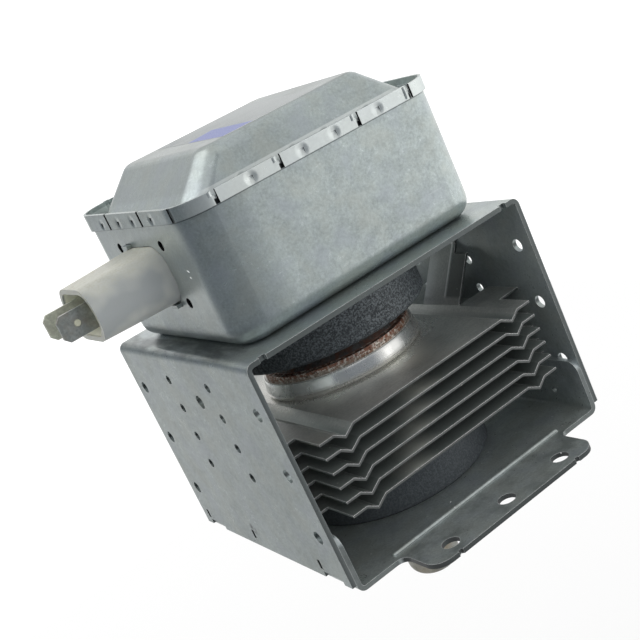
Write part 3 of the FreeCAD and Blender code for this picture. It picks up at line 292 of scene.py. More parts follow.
class Graph:
    """Short calls that add nodes to a shader tree. They take sockets or plain values and return sockets."""

    def __init__(self, tree):
        self.tree = tree

    def node(self, kind, **settings):
        node = self.tree.nodes.new("ShaderNode" + kind)
        for name, value in settings.items():
            setattr(node, name, value)
        return node

    def give(self, socket, value):
        """Links a node's output to the socket, or writes a plain value on it."""
        if isinstance(value, bpy.types.NodeSocket):
            self.tree.links.new(value, socket)
        elif isinstance(value, tuple) and len(value) == 3 and socket.type == "RGBA":
            socket.default_value = (*value, 1.0)
        else:
            socket.default_value = value

    def fill(self, node, **inputs):
        """Gives the named inputs, with _ for each blank in a name."""
        for name, value in inputs.items():
            self.give(node.inputs[name.replace("_", " ")], value)
        return node

    def calc(self, work, *values):
        node = self.node("Math", operation=work)
        for socket, value in zip(node.inputs, values):
            self.give(socket, value)
        return node.outputs["Value"]

    def vector_calc(self, work, *values):
        """A number made from vectors, such as a dot product or a length."""
        node = self.node("VectorMath", operation=work)
        for socket, value in zip(node.inputs, values):
            self.give(socket, value)
        return node.outputs["Value"]

    def times(self, first, *others):
        for other in others:
            first = self.calc("MULTIPLY", first, other)
        return first

    def plus(self, first, *others):
        for other in others:
            first = self.calc("ADD", first, other)
        return first

    def minus(self, first, second):
        return self.calc("SUBTRACT", first, second)

    def greater(self, first, second):
        return self.calc("MAXIMUM", first, second)

    def absolute(self, value):
        return self.calc("ABSOLUTE", value)

    def square(self, value):
        """Made from the absolute value, because the power node is meant for numbers above zero."""
        return self.calc("POWER", self.absolute(value), 2.0)

    def total(self, *parts):
        """The sum of value times weight."""
        result = 0.0
        for value, weight in parts:
            result = self.plus(self.times(value, weight), result)
        return result

    def level(self, value, low, high, start=0.0, end=1.0, shape="LINEAR"):
        """start up to low, end from high on, and a line between them. low may be the larger number."""
        node = self.node("MapRange", interpolation_type=shape)
        self.fill(node, Value=value, From_Min=low, From_Max=high, To_Min=start, To_Max=end)
        return node.outputs["Result"]

    def smooth(self, value, low, high, start=0.0, end=1.0):
        return self.level(value, low, high, start, end, shape="SMOOTHSTEP")

    def mix(self, share, first, second):
        node = self.fill(self.node("Mix", data_type="RGBA"), Factor=share, A=first, B=second)
        return node.outputs["Result"]

    def tint(self, colour, where, share, tone):
        """The colour with a tone laid over it, where the mark is and at most by the share."""
        return self.mix(self.times(where, share), colour, tone)

    def part(self, vector, axis):
        return self.fill(self.node("SeparateXYZ"), Vector=vector).outputs[axis]


class Paint(Graph):
    """A material. Sizes and places are in millimetres."""

    def __init__(self, name):
        self.mat = bpy.data.materials.new(name)
        self.mat.use_nodes = True
        super().__init__(self.mat.node_tree)
        self.shader = self.tree.nodes["Principled BSDF"]
        coord = self.node("TexCoord")
        self.place = coord.outputs["Object"]
        self.facing = coord.outputs["Normal"]

    def at(self, axis):
        """The place along one of the object's own axes."""
        return self.calc("DIVIDE", self.part(self.place, axis), MM)

    def toward(self, axis):
        """How far the surface faces along an axis, from -1 to 1."""
        return self.part(self.facing, axis)

    def either_way(self, axis):
        """How far the surface faces along an axis, whichever way, from 0 to 1."""
        return self.absolute(self.toward(axis))

    def axis_distance(self):
        """Distance from the tube's axis."""
        x, y = (self.square(self.part(self.place, axis)) for axis in "XY")
        return self.calc("DIVIDE", self.calc("SQRT", self.plus(x, y)), MM)

    def spread(self, stretch=(1, 1, 1), turn=(0, 0, 0)):
        """The object's own coordinates, stretched and turned."""
        turn = [math.radians(angle) for angle in turn]
        node = self.fill(self.node("Mapping"), Vector=self.place, Scale=stretch, Rotation=turn)
        return node.outputs["Vector"]

    def noise(self, size, detail=3.0, rough=0.55, vector=None):
        node = self.node("TexNoise")
        self.fill(node, Vector=vector or self.place, Scale=1 / (size * MM), Detail=detail, Roughness=rough)
        return node.outputs["Fac"]

    def cells(self, size):
        """Distance from the nearest of many scattered points, in shares of the size."""
        node = self.fill(self.node("TexVoronoi"), Vector=self.place, Scale=1 / (size * MM))
        return node.outputs["Distance"]

    def waves(self, size, vector, twist):
        node = self.node("TexWave", bands_direction="Z")
        self.fill(node, Vector=vector, Scale=WAVE_BAND / (size * MM), Distortion=twist)
        return node.outputs["Fac"]

    def edges(self, radius, samples):
        """1 on sharp edges and 0 on flat faces, and the facing that rounded edges would have."""
        soft = self.fill(self.node("Bevel", samples=samples), Radius=radius * MM).outputs["Normal"]
        true = self.node("NewGeometry").outputs["Normal"]
        agreement = self.vector_calc("DOT_PRODUCT", soft, true)
        return self.level(agreement, 1 - EDGE_FULL, 1 - EDGE_BEGINS, 1.0, 0.0), soft

    def edge_lines(self, radius):
        """Share of painted highlight on edges that look up or outward, and of painted shade on edges that
        look down.
        """
        edge, soft = self.edges(radius, samples=6)
        tilt = self.part(soft, "Z")
        bright = self.times(edge, self.level(tilt, -0.12, 0.15))
        dark = self.times(edge, self.level(tilt, -0.12, -0.35))
        return bright, dark

    def within(self, value, low, high, soft):
        """1 between low and high, 0 beyond a soft border outside them."""
        return self.times(self.level(value, low - soft, low), self.level(value, high + soft, high))

    def bump(self, height, depth, strength=1.0, over=None):
        node = self.fill(self.node("Bump"), Strength=strength, Distance=depth * MM, Height=height)
        if over is not None:
            self.fill(node, Normal=over)
        return node.outputs["Normal"]

    def finish(self, **inputs):
        self.fill(self.shader, **inputs)
        return self.mat


def zinc_sheet(name, tones, metal=0.8, marks=None, dents=None, worn=None):
    """Galvanised sheet: clouds, grain, rolling lines, thin scratches, a painted highlight on upper edges and
    painted shade on lower edges.
    """
    p = Paint(name)
    patch = p.noise(2.6, detail=4, rough=0.65)
    grain = p.noise(0.62, detail=2, rough=0.75)
    mottled = p.total((p.noise(14), 0.25), (patch, 0.30), (grain, 0.45))
    dark = tuple(c * DARKER for c in tones[0])
    light = tuple(c * LIGHTER for c in tones[1])
    colour = p.mix(p.level(mottled, 0.36, 0.64), dark, light)
    cool = p.noise(8)
    colour = p.mix(p.level(cool, 0.50, 0.66, 0.0, 0.45), colour, ZINC_COOL)
    colour = p.mix(p.level(cool, 0.50, 0.36, 0.0, 0.4), colour, ZINC_WARM)
    rolled = p.noise(0.5, detail=2, vector=p.spread((1, 0.04, 1), turn=(0, 0, 12)))
    colour = p.mix(p.level(rolled, 0.5, 0.72, 0.0, 0.08), colour, ZINC_ROLLED)
    streaks = p.noise(0.42, detail=1, vector=p.spread((0.035, 1, 0.6), turn=(25, 40, 35)))
    colour = p.mix(p.level(streaks, 0.74, 0.79, 0.0, 0.16), colour, ZINC_SCRATCH)
    if marks:
        colour = marks(p, colour)
    # Painted highlight on edges that look up, painted shade on edges that look down
    bright, dark_line = p.edge_lines(0.26)
    colour = p.tint(colour, bright, 0.85, ZINC_EDGE_HIGHLIGHT)
    colour = p.tint(colour, dark_line, 0.8, EDGE_SHADOW)
    relief = p.total((patch, 0.5), (grain, 0.35), (streaks, -0.1))
    normal = p.bump(relief, 0.03, 0.3)
    if dents:
        normal = dents(p, normal)
    return p.finish(
        Base_Color=colour,
        Metallic=p.level(bright, 0.0, 1.0, worn(p) if worn else metal, 0.25),
        Roughness=p.level(mottled, 0.38, 0.62, 0.36, 0.27),
        Normal=normal,
    )


def yoke_metal(p):
    """How metallic the folded sheet is: less so on its inside."""
    inside = p.times(p.level(p.absolute(p.at("X")), *PANEL_INSIDE), p.level(p.at("Z"), *YOKE_TOP_INSIDE))
    return p.level(inside, 0.0, 1.0, 0.8, 0.45)


def yoke_marks(p, colour):
    """Painted shade on the shear cuts in front and behind and on faces that look left, a blot on the left
    side, and painted shade on the top strip's left end beside the box.
    """
    x, y, z = map(p.at, "XYZ")
    # Painted shade on the cut faces in front and behind
    colour = p.mix(p.level(p.either_way("Y"), *SQUARE, 0.0, 0.9), colour, SHEAR_CUT_SHADE)
    # Painted shade on faces that look left
    colour = p.mix(p.level(p.toward("X"), -0.9, -0.99, 0.0, 0.15), colour, YOKE_LEFT_SHADE)
    distance_squared = p.plus(p.square(p.minus(y, BLOT[0])), p.square(p.minus(z, BLOT[1])))
    blot = p.times(p.level(distance_squared, *BLOT_REACH_SQUARED), p.level(x, *PANEL_OUTSIDE))
    blot = p.times(blot, p.level(p.noise(0.9, detail=2), 0.42, 0.56))
    colour = p.tint(colour, blot, 0.8, EDGE_SHADOW)
    # Painted shade on the top strip's left end beside the box, broken up by stretched noise
    smear = p.level(p.noise(2.5, vector=p.spread((1, 0.3, 1))), 0.3, 0.6)
    front_left = p.level(x, -33.5, -34.5)
    stain_and_shade = p.times(p.level(y, -31.0, -22.0), smear, p.level(z, *YOKE_TOP_OUTSIDE), front_left)
    return p.tint(colour, stain_and_shade, 0.8, YOKE_TOP_SHADE)


def lid_marks(p, colour):
    """Painted light on the rim band in front, painted shade on the top and the left slope, and painted shade
    on the walls in the rim's slits.
    """
    x, y, z = map(p.at, "XYZ")
    # Painted light on the front of the rim band
    band = p.times(p.level(z, RIM_TOP + 0.3, RIM_TOP + 0.1), p.level(p.toward("Y"), -0.6, -0.95))
    colour = p.tint(colour, band, 0.65, RIM_BAND_LIGHT)
    # Painted shade on the slope that looks left
    slope = p.times(p.level(z, RIM_TOP + 0.3, RIM_TOP + 1.0), p.level(p.toward("X"), -0.2, -0.6))
    colour = p.tint(colour, slope, 0.3, LID_LEFT_SHADE)
    # Painted shade on the top
    top = p.times(p.level(z, *LID_TOP_Z), p.level(p.toward("Z"), *SQUARE))
    colour = p.tint(colour, top, 0.6, LID_TOP_SHADE)
    # Painted shade on the walls in the rim's slits
    across_x = p.level(p.either_way("X"), *NEARLY_SQUARE)
    across_y = p.level(p.either_way("Y"), *NEARLY_SQUARE)
    front_slits = p.times(across_x, p.level(y, *FRONT_SLIT_Y))
    side_slits = p.times(across_y, p.level(p.absolute(x), *SIDE_SLIT_X))
    side_slits = p.times(side_slits, p.level(p.absolute(y), *SIDE_SLIT_Y))
    slits = p.times(p.greater(front_slits, side_slits), p.level(z, RIM_TOP + 0.9, RIM_TOP + 0.6))
    return p.mix(slits, colour, SLIT_SHADOW)


def box_marks(p, colour):
    """Painted light on the left wall and painted shade below it, a painted shadow line under the rim, and
    painted shade on the wall behind the rim and in the side holes.
    """
    x, y = (p.absolute(p.at(axis)) for axis in "XY")
    z = p.at("Z")
    steep = p.level(p.either_way("Z"), *STEEP)
    # Painted light on the left wall
    left = p.times(p.level(p.toward("X"), -0.85, -0.99), p.level(z, *BOX_LIGHTER_Z))
    colour = p.tint(colour, left, 0.4, BOX_LEFT_LIGHT)
    # Painted shade low on the left
    under = p.times(p.level(p.toward("X"), -0.25, -0.5), p.level(z, *BOX_DARKER_Z))
    colour = p.tint(colour, under, 0.65, BOX_UNDER_SHADE)
    # Painted shadow line under the rim's lower edge
    seam = p.times(p.within(z, RIM_BOTTOM - 0.28, RIM_BOTTOM - 0.02, 0.08), steep)
    colour = p.tint(colour, seam, 0.6, BOX_SEAM_SHADE)
    # Painted shade on the wall behind the rim, seen through its slits, and on the walls of the side holes
    hidden = p.times(p.level(z, RIM_BOTTOM - 0.03, RIM_BOTTOM + 0.02), steep)
    holes = p.times(p.level(x, *BOX_WALL_X), p.level(y, *BOX_HOLES_Y))
    holes = p.times(holes, p.level(p.either_way("X"), *STEEP), p.level(z, *BOX_HOLES_Z))
    return p.mix(p.greater(hidden, holes), colour, SLIT_SHADOW)


def drawn_corner(p, normal):
    """The box's front wall is not quite flat beside its left corner, as on any deep drawn part."""
    away = p.greater(p.minus(CORNER_BOW_X, p.at("X")), 0.0)
    return p.bump(p.times(p.calc("POWER", away, 2.0), -CORNER_BOW), 1.0, over=normal)


def rim_dents(p, normal):
    """Round dents beside the pressed notches of the rim."""
    x, y, z = map(p.at, "XYZ")
    front = p.level(p.toward("Y"), -0.7, -0.9)
    left = p.level(p.toward("X"), -0.7, -0.9)
    depth = 0.0
    for along, side, places in ((x, front, DIMPLE_X), (y, left, DIMPLE_Y)):
        for place in places:
            distance_squared = p.plus(p.square(p.minus(along, place)), p.square(p.minus(z, DIMPLE_Z)))
            near = p.level(distance_squared, 0.0, DIMPLE_REACH_SQUARED, 1.0, 0.0)
            depth = p.plus(p.times(near, near, near, side), depth)
    return p.bump(p.times(depth, -1.0), 0.3, over=normal)


def lip_marks(p, colour):
    """Stains that grow toward the mounting lips, painted shade on the rough shear cuts around them, and pale
    chips.
    """
    y = p.absolute(p.at("Y"))
    steep = p.level(p.either_way("Z"), 0.45, 0.2)
    cloud = p.noise(7, detail=4, rough=0.65)
    stain_and_shade = p.times(p.level(cloud, 0.46, 0.66), p.level(y, 30.0, 39.0, 0.25, 0.7))
    colour = p.mix(stain_and_shade, colour, PLATE_STAIN)
    # Painted shade on the steep cut faces at the ends of the lips
    cut = p.times(p.level(y, *PLATE_END_Y), steep)
    colour = p.tint(colour, cut, 0.92, PLATE_CUT_SHADE)
    # Painted shade on the faces square to the front
    colour = p.mix(p.level(p.either_way("Y"), *SQUARE, 0.0, 0.75), colour, SHEAR_CUT_SHADE)
    return p.mix(p.level(p.cells(4.6), 0.035, 0.055, 0.9, 0.0), colour, PLATE_CHIP)


def ferrite():
    """Sintered ferrite: a dark body, densely speckled, with painted shade toward the left of the upper ring;
    the lower ring is the cleaner one.
    """
    p = Paint("ferrite")
    x, z = map(p.at, "XZ")
    rings = (LOWER_RING_TOP, UPPER_RING_BOTTOM)
    grit = p.total((p.noise(0.55, detail=2, rough=0.65), 0.55), (p.noise(0.33, detail=1, rough=0.5), 0.45))
    body = p.mix(p.level(p.noise(9, detail=2), 0.35, 0.65), *FERRITE)
    body = p.mix(p.level(z, *rings[::-1], 0.0, 0.6), body, FERRITE_CLEAN)
    # Painted shade toward the left of the upper ring
    shade = p.times(p.level(x, 12, -14, 0.0, 0.6), p.level(z, 30, UPPER_RING_BOTTOM))
    body = p.mix(shade, body, FERRITE_SHADE)
    strong = p.times(p.level(z, *rings, 0.3, 1.0), p.level(shade, 0.0, 0.6, 1.0, 0.55))
    speckle = p.times(p.level(grit, 0.44, 0.60, 0.0, 0.8), strong)
    return p.finish(
        Base_Color=p.mix(speckle, body, FERRITE_SPECKLE),
        Metallic=0.15,
        Roughness=p.level(grit, 0.4, 0.65, 0.60, 0.40),
        Normal=p.bump(grit, 0.16, 0.9),
    )


def fin_glints(p, x, y, z, lower):
    """Soft reflections on faces that look up: a slanting streak on lower fins, round ones on the top fin."""
    upward = p.level(p.toward("Z"), 0.6, 0.9)
    slant = p.total((z, STREAK_SLANT), (x, 1.0))
    aside = p.absolute(p.minus(slant, STREAK_PLACE))
    glint = p.times(p.level(aside, 6.5, 0.5, 0.0, 0.5), p.times(lower, upward))
    for spot_x, spot_y, reach, share in FIN_GLINTS:
        far = p.calc("SQRT", p.plus(p.square(p.minus(x, spot_x)), p.square(p.minus(y, spot_y))))
        near = p.times(p.level(far, reach, 1.0, 0.0, share), upward)
        glint = p.greater(glint, p.times(near, p.level(z, UNDER_TOP_FIN + 0.1, UNDER_TOP_FIN + 0.4)))
    return glint


def fin_flaps(p, colour, x, y, z):
    """Bent-up flaps of the top fin: a painted highlight on a fold line, painted shade in front of it and
    painted light toward the rear.
    """
    bent = p.times(p.level(p.absolute(x), *FLAP_X), p.level(z, *FLAP_Z))
    colour = p.tint(colour, bent, p.within(y, -8.7, -8.2, 0.15), FLAP_FOLD_HIGHLIGHT)
    colour = p.tint(colour, bent, p.level(y, -8.8, -9.4, 0.0, 0.7), FLAP_SHADE)
    return p.tint(colour, bent, p.level(y, -4.2, -0.5, 0.0, 0.5), FLAP_LIGHT)


def fin_aluminium():
    """Pressed aluminium in warm grey patches, with painted shade on the lower fins, a smoother ring with a
    painted sheen around the collar, painted reflections, and thin cut edges with a painted highlight above
    and painted shade below.
    """
    p = Paint("fin_aluminium")
    x, y, z = map(p.at, "XYZ")
    far = p.axis_distance()
    grain = p.noise(0.6, rough=0.7)
    lines = p.noise(0.4, detail=1, vector=p.spread((0.05, 1, 1), turn=(0, 0, -8)))
    mottled = p.total((p.noise(11, detail=4), 0.45), (grain, 0.4), (lines, 0.15))
    colour = p.mix(p.level(mottled, 0.38, 0.62), *FIN)
    colour = p.mix(p.level(p.noise(24), 0.50, 0.70, 0.0, 0.35), colour, FIN_WARM)
    lower = p.level(z, UNDER_TOP_FIN + 0.1, UNDER_TOP_FIN - 0.6)
    # Painted shade on the lower fins, darkest toward their front
    colour = p.tint(colour, lower, 0.45, FIN_LOWER_SHADE)
    colour = p.tint(colour, lower, p.level(y, -20.0, -33.0, 0.0, 0.8), FIN_FRONT_SHADE)
    # A smoother ring around the collar, with a painted sheen in its colour
    ring_sheen = p.times(p.level(far, *SHEEN_RING), p.level(z, UNDER_TOP_FIN, UNDER_TOP_FIN + 0.4))
    colour = p.tint(colour, ring_sheen, 0.6, FIN_RING_SHEEN)
    colour = p.mix(fin_glints(p, x, y, z, lower), colour, FIN_GLINT)
    colour = fin_flaps(p, colour, x, y, z)
    bright, dark_line = p.edge_lines(0.27)
    bright = p.times(bright, p.level(far, 22.0, 24.0))
    # Painted shade on the fins' cut faces
    cut = p.times(p.level(p.either_way("Y"), 0.93, 0.99), p.level(far, 23.0, 25.0))
    colour = p.mix(cut, colour, FIN_CUT_SHADE)
    # Painted highlight on upper edges and painted shade on lower edges
    colour = p.mix(bright, colour, FIN_EDGE_HIGHLIGHT)
    colour = p.tint(colour, dark_line, 0.95, FIN_EDGE_SHADOW)
    colour = p.mix(p.level(p.cells(3.3), 0.04, 0.07, 0.7, 0.0), colour, FIN_SPECK)
    polish = p.level(mottled, 0.4, 0.6, 0.38, 0.28)
    return p.finish(
        Base_Color=colour,
        Metallic=p.minus(p.level(lower, 0.0, 1.0, 0.72, 0.5), p.times(bright, 0.5)),
        Roughness=p.times(polish, p.level(ring_sheen, 0.0, 1.0, 1.0, 0.75)),
        Normal=p.bump(p.total((grain, 0.6), (lines, 0.4)), 0.04, 0.4),
    )


def collar_aluminium():
    """Bright drawn aluminium with soft upright bands of tone around the collar."""
    p = Paint("collar_aluminium")
    soft = p.noise(4.5, detail=2, vector=p.spread((1, 1, 0.15)))
    fine = p.noise(0.7, detail=2, vector=p.spread((1, 1, 0.25)))
    tone = p.total((soft, 0.7), (fine, 0.3))
    return p.finish(
        Base_Color=p.mix(p.level(tone, 0.42, 0.58), *COLLAR),
        Metallic=0.88,
        Roughness=p.level(tone, 0.42, 0.58, 0.30, 0.20),
        Normal=p.bump(tone, 0.1, 0.5),
    )


def anode_copper():
    """Copper with a rough, half plated, brown skin, and greyer between the fins."""
    p = Paint("anode_copper")
    crust = p.noise(0.85, rough=0.7)
    spots = p.cells(1.1)
    colour = p.mix(p.level(p.noise(5), 0.4, 0.6), *COPPER)
    colour = p.mix(p.level(crust, 0.49, 0.60), colour, COPPER_CRUST)
    colour = p.mix(p.level(spots, 0.12, 0.3, 0.8, 0.0), colour, COPPER_PIT)
    between_fins = p.level(p.at("Z"), UNDER_TOP_FIN + 0.4, UNDER_TOP_FIN, 0.0, 0.85)
    colour = p.mix(between_fins, colour, COPPER_DUSTY)
    return p.finish(
        Base_Color=colour,
        Metallic=0.75,
        Roughness=p.level(crust, 0.4, 0.6, 0.6, 0.35),
        Normal=p.bump(p.total((crust, 0.7), (spots, 0.5)), 0.2, 0.9),
    )


def sealed_cap():
    """Dark cap steel, with the copper's crust on its lower flange."""
    p = Paint("cap_steel_crusted")
    grain = p.noise(0.55, rough=0.7)
    crust = p.noise(0.8, rough=0.7)
    colour = p.mix(p.level(p.total((p.noise(6, detail=4), 0.5), (grain, 0.5)), 0.4, 0.6), *SEAL)
    colour = p.mix(p.level(p.noise(2.4), 0.48, 0.66, 0.0, 0.7), colour, SEAL_RUST)
    shell = p.mix(p.level(crust, 0.49, 0.60), *SEAL_FLANGE)
    shell = p.mix(p.level(p.cells(1.0), 0.12, 0.3, 0.8, 0.0), shell, SEAL_PIT)
    flange = p.level(p.at("Z"), *CAP_FLANGE)
    return p.finish(
        Base_Color=p.mix(flange, colour, shell),
        Metallic=0.75,
        Roughness=p.level(grain, 0.4, 0.6, 0.55, 0.36),
        Normal=p.bump(p.total((crust, 0.7), (grain, 0.3)), 0.15, 0.9),
    )


def plain_metal(name, tones, rough, metal=0.9, size=6.0, tint=None):
    """Small turned or drawn metal parts: cloudy tone, fine grain, worn edges, and a tint in patches."""
    p = Paint(name)
    mottled = p.total((p.noise(size, detail=4), 0.6), (p.noise(0.5, rough=0.7), 0.4))
    colour = p.mix(p.level(mottled, 0.4, 0.6), *tones)
    if tint is not None:
        colour = p.mix(p.level(p.noise(size * 1.7, detail=2), 0.45, 0.65, 0.0, 0.75), colour, tint)
    edge, _ = p.edges(0.2, samples=4)
    colour = p.tint(colour, edge, 0.45, tuple(min(1.0, c * 1.7) for c in tones[1]))
    return p.finish(
        Base_Color=colour,
        Metallic=metal,
        Roughness=p.level(mottled, 0.4, 0.6, rough + 0.1, rough - 0.06),
        Normal=p.bump(mottled, 0.04, 0.6),
    )


def cream_plastic():
    """Moulded plastic: cream, with painted shade on faces in front, stained on top, and painted light on the
    inside of the opening.
    """
    p = Paint("cream_plastic")
    x, y = map(p.at, "XY")
    z = p.minus(p.at("Z"), TERMINAL_Z)
    cloud = p.noise(7)
    grain = p.noise(0.5, detail=2)
    smear = p.noise(1.6, detail=4, rough=0.75)
    colour = p.mix(p.level(cloud, 0.35, 0.65), *CREAM)
    # Painted shade on faces in front, uneven across them
    front_shade = p.level(p.noise(10, detail=2), 0.40, 0.60, 0.45, 0.95)
    colour = p.tint(colour, p.level(p.toward("Y"), 0.1, -0.55), front_shade, CREAM_FRONT_SHADE)
    upward = p.level(p.toward("Z"), 0.3, 0.9)
    stain_and_shade = p.level(p.total((smear, 0.5), (grain, 0.5)), 0.46, 0.60, 0.1, 0.6)
    colour = p.tint(colour, stain_and_shade, upward, CREAM_STAIN)
    # Painted light on the inside of the opening
    share_y, share_z = (p.calc("DIVIDE", p.absolute(c), half) for c, half in zip((y, z), SLEEVE_OPENING))
    outward = p.total((p.times(p.toward("Y"), y), 1.0), (p.times(p.toward("Z"), z), 1.0))
    inner = p.times(p.level(p.greater(share_y, share_z), 1.02, 0.99), p.level(x, *SLEEVE_MOUTH_X))
    inner = p.times(inner, p.level(outward, 0.0, -1.0))
    return p.finish(
        Base_Color=p.mix(inner, colour, CREAM_INSIDE_LIGHT),
        Roughness=p.level(cloud, 0.35, 0.65, 0.34, 0.46),
        Subsurface_Weight=0.1,
        Subsurface_Radius=(0.0012, 0.001, 0.0006),
        Normal=p.bump(p.total((grain, 0.6), (smear, 0.4)), 0.04, 0.4),
    )


def dull(name, tones, rough, cloud=4, detail=4, grain=0.3, depth=0.05, strength=0.6):
    """Cloudy, finely grained resin or ceramic: sizes of clouds and grain, and the grain's relief."""
    p = Paint(name)
    colour = p.mix(p.level(p.noise(cloud, detail=detail), 0.35, 0.65), *tones)
    relief = p.bump(p.noise(grain, detail=2), depth, strength)
    return p.finish(Base_Color=colour, Roughness=rough, Normal=relief)


def wire_mesh():
    """Woven wire ring: two crossing sets of fine ribs."""
    p = Paint("mesh_gasket")
    one, other = (p.waves(0.7, p.spread(turn=(turn, 34, 0)), twist=0.6) for turn in (40, -40))
    weave = p.greater(one, other)
    colour = p.mix(p.level(weave, 0.45, 0.85), *MESH_WIRE)
    return p.finish(Base_Color=colour, Metallic=0.85, Roughness=0.38, Normal=p.bump(weave, 0.25))


def enamelled_wire():
    """Copper wire under clear brown enamel."""
    p = Paint("enamelled_wire")
    cloud = p.noise(3)
    colour = p.mix(p.level(cloud, 0.35, 0.65), *ENAMEL)
    relief = p.bump(cloud, 0.02, 0.5)
    return p.finish(Base_Color=colour, Metallic=0.7, Roughness=0.28, Coat_Weight=0.5, Normal=relief)


def label_foil():
    """Silvery paper foil, faintly blotched, with one plain pale blue field near its front left corner."""
    p = Paint("label_foil")
    x, y = map(p.at, "XY")
    grain = p.noise(0.45, detail=2)
    smear = p.noise(2.2, vector=p.spread((0.5, 1.6, 1), turn=(0, 0, 20)))
    colour = p.mix(p.level(p.noise(7), 0.35, 0.65), *FOIL)
    colour = p.mix(p.level(smear, 0.52, 0.66, 0.0, 0.5), colour, FOIL_SMEAR)
    colour = p.mix(p.level(x, -9.0, 9.0, 0.0, 0.75), colour, FOIL_RIGHT)
    field_right = p.level(p.total((x, 1.0), (y, -0.056)), -5.4, -5.8)
    field_rear = p.level(p.total((y, 1.0), (x, -0.33)), 3.4, 2.9)
    colour = p.tint(colour, p.times(field_right, field_rear), 0.92, FOIL_BLUE)
    colour = p.mix(p.level(p.toward("Z"), 0.5, 0.3), colour, FOIL_EDGE)
    return p.finish(
        Base_Color=colour,
        Metallic=0.15,
        Roughness=p.level(grain, 0.4, 0.6, 0.34, 0.46),
        Normal=p.bump(grain, 0.02, 0.4),
    )


finishes = {
    "zinc_steel": zinc_sheet("zinc_steel", ZINC),
    "ferrite": ferrite(),
    "fin_aluminium": fin_aluminium(),
    "anode_copper": anode_copper(),
    "cap_steel": plain_metal("cap_steel", CAP_STEEL, 0.4, tint=CAP_TINT),
    "antenna_steel": plain_metal("antenna_steel", ANTENNA_STEEL, 0.34, tint=ANTENNA_TINT),
    "pole_iron": plain_metal("pole_iron", IRON, 0.42),
    "ceramic": dull("ceramic", CERAMIC, 0.5, cloud=5, detail=3, grain=0.35, depth=0.03, strength=0.4),
    "cream_plastic": cream_plastic(),
    "tinned_brass": plain_metal("tinned_brass", BRASS, 0.34, size=1.6, tint=BRASS_TINT),
    "capacitor_resin": dull("capacitor_resin", CAPACITOR, 0.45),
    "mesh_gasket": wire_mesh(),
    "choke_ferrite": dull("choke_ferrite", CHOKE, 0.6),
    "enamelled_wire": enamelled_wire(),
    "tungsten": plain_metal("tungsten", TUNGSTEN, 0.5),
    "label_foil": label_foil(),
}

own_finishes = {
    # The rear blade has a lighter copy of the brass: painted light where the front blade shades it
    "terminal_rear": plain_metal("rear_brass_lit", REAR_BRASS_LIT, 0.45, metal=0.45, size=1.6, tint=REAR_BRASS_LIT_TINT),
    "upper_seal_cap": sealed_cap(),
    "filter_box": zinc_sheet("zinc_box", ZINC, marks=box_marks, dents=drawn_corner),
    "filter_lid": zinc_sheet("zinc_lid", ZINC_LID, marks=lid_marks, dents=rim_dents),
    "upper_yoke": zinc_sheet("zinc_yoke", ZINC, marks=yoke_marks, worn=yoke_metal),
    "lower_yoke": zinc_sheet("zinc_plate", ZINC_PLATE, metal=0.66, marks=lip_marks),
}

for part in record["subparts"]:
    mesh = nodes[part["node"]].data
    mesh.materials.clear()
    mesh.materials.append(own_finishes.get(part["node"], finishes[part["material_slot"]]))


def add_object(name, data):
    """A new object in the scene."""
    obj = bpy.data.objects.new(name, data)
    bpy.context.scene.collection.objects.link(obj)
    return obj


def piece(name, points, faces, finish, smooth=True):
    """A small visual piece that rides on the part. Points are in millimetres."""
    mesh = bpy.data.meshes.new(name)
    mesh.from_pydata([[c * MM for c in point] for point in points], [], faces)
    mesh.validate()
    mesh.polygons.foreach_set("use_smooth", [smooth] * len(mesh.polygons))
    mesh.materials.append(finish)
    obj = add_object(name, mesh)
    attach(obj, ROOT)
    return obj


def grid_corners(start, across, along):
    """The four corners of each cell of a grid of points, numbered from start, row after row."""
    row = across + 1
    for j in range(along):
        for i in range(across):
            a = start + j * row + i
            yield a, a + 1, a + row + 1, a + row


def ring_faces(start, sides, rings):
    """Faces between rings of points that follow each other."""
    faces = []
    for ring in range(rings - 1):
        for k in range(sides):
            a, b = start + ring * sides + k, start + ring * sides + (k + 1) % sides
            faces.append((a, b, b + sides, a + sides))
    return faces


def between(first, second, share):
    """The point at a share of the way from the first to the second."""
    return [a + (b - a) * share for a, b in zip(first, second)]


def turned(name, profile, steps, finish):
    """A closed profile of (radius, z) turned around the tube's axis."""
    points, faces = [], []
    count = len(profile)
    for i in range(steps):
        angle = math.tau * i / steps
        points += [(r * math.cos(angle), r * math.sin(angle), z) for r, z in profile]
        here, after = i * count, (i + 1) % steps * count
        for k in range(count):
            following = (k + 1) % count
            faces.append((here + k, after + k, after + following, here + following))
    return piece(name, points, faces, finish)


def draped_label():
    """The label as a thin sheet that follows the slightly domed top of the lid."""
    lid = nodes["filter_lid"].data
    tree = BVHTree.FromPolygons([v.co for v in lid.vertices], [p.vertices for p in lid.polygons])
    across, along = LABEL_CELLS
    points = []
    for rise in (LABEL_LIFT, -LABEL_LIFT):
        for j in range(along + 1):
            for i in range(across + 1):
                front = between(*LABEL_FRONT, i / across)
                rear = between(*LABEL_REAR, i / across)
                x, y = between(front, rear, j / along)
                hit = tree.ray_cast(Vector((x * MM, y * MM, ABOVE_LID * MM)), Vector((0, 0, -1)))[0]
                points.append((x, y, hit.z / MM + rise))
    row = across + 1
    layer = row * (along + 1)
    faces = []
    for a, b, c, d in grid_corners(0, across, along):
        faces.append((a, b, c, d))
        faces.append((layer + a, layer + d, layer + c, layer + b))
    border = list(range(row))
    border += [j * row + across for j in range(1, along + 1)]
    border += [along * row + i for i in range(across - 1, -1, -1)]
    border += [j * row for j in range(along - 1, 0, -1)]
    start, count = len(points), len(border)
    points += [points[k] for k in border] + [points[layer + k] for k in border]
    for a, b, c, d in ring_faces(start, count, 2):
        faces.append((a, d, c, b))
    obj = piece("draped_label", points, faces, finishes["label_foil"])
    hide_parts("lid_label")


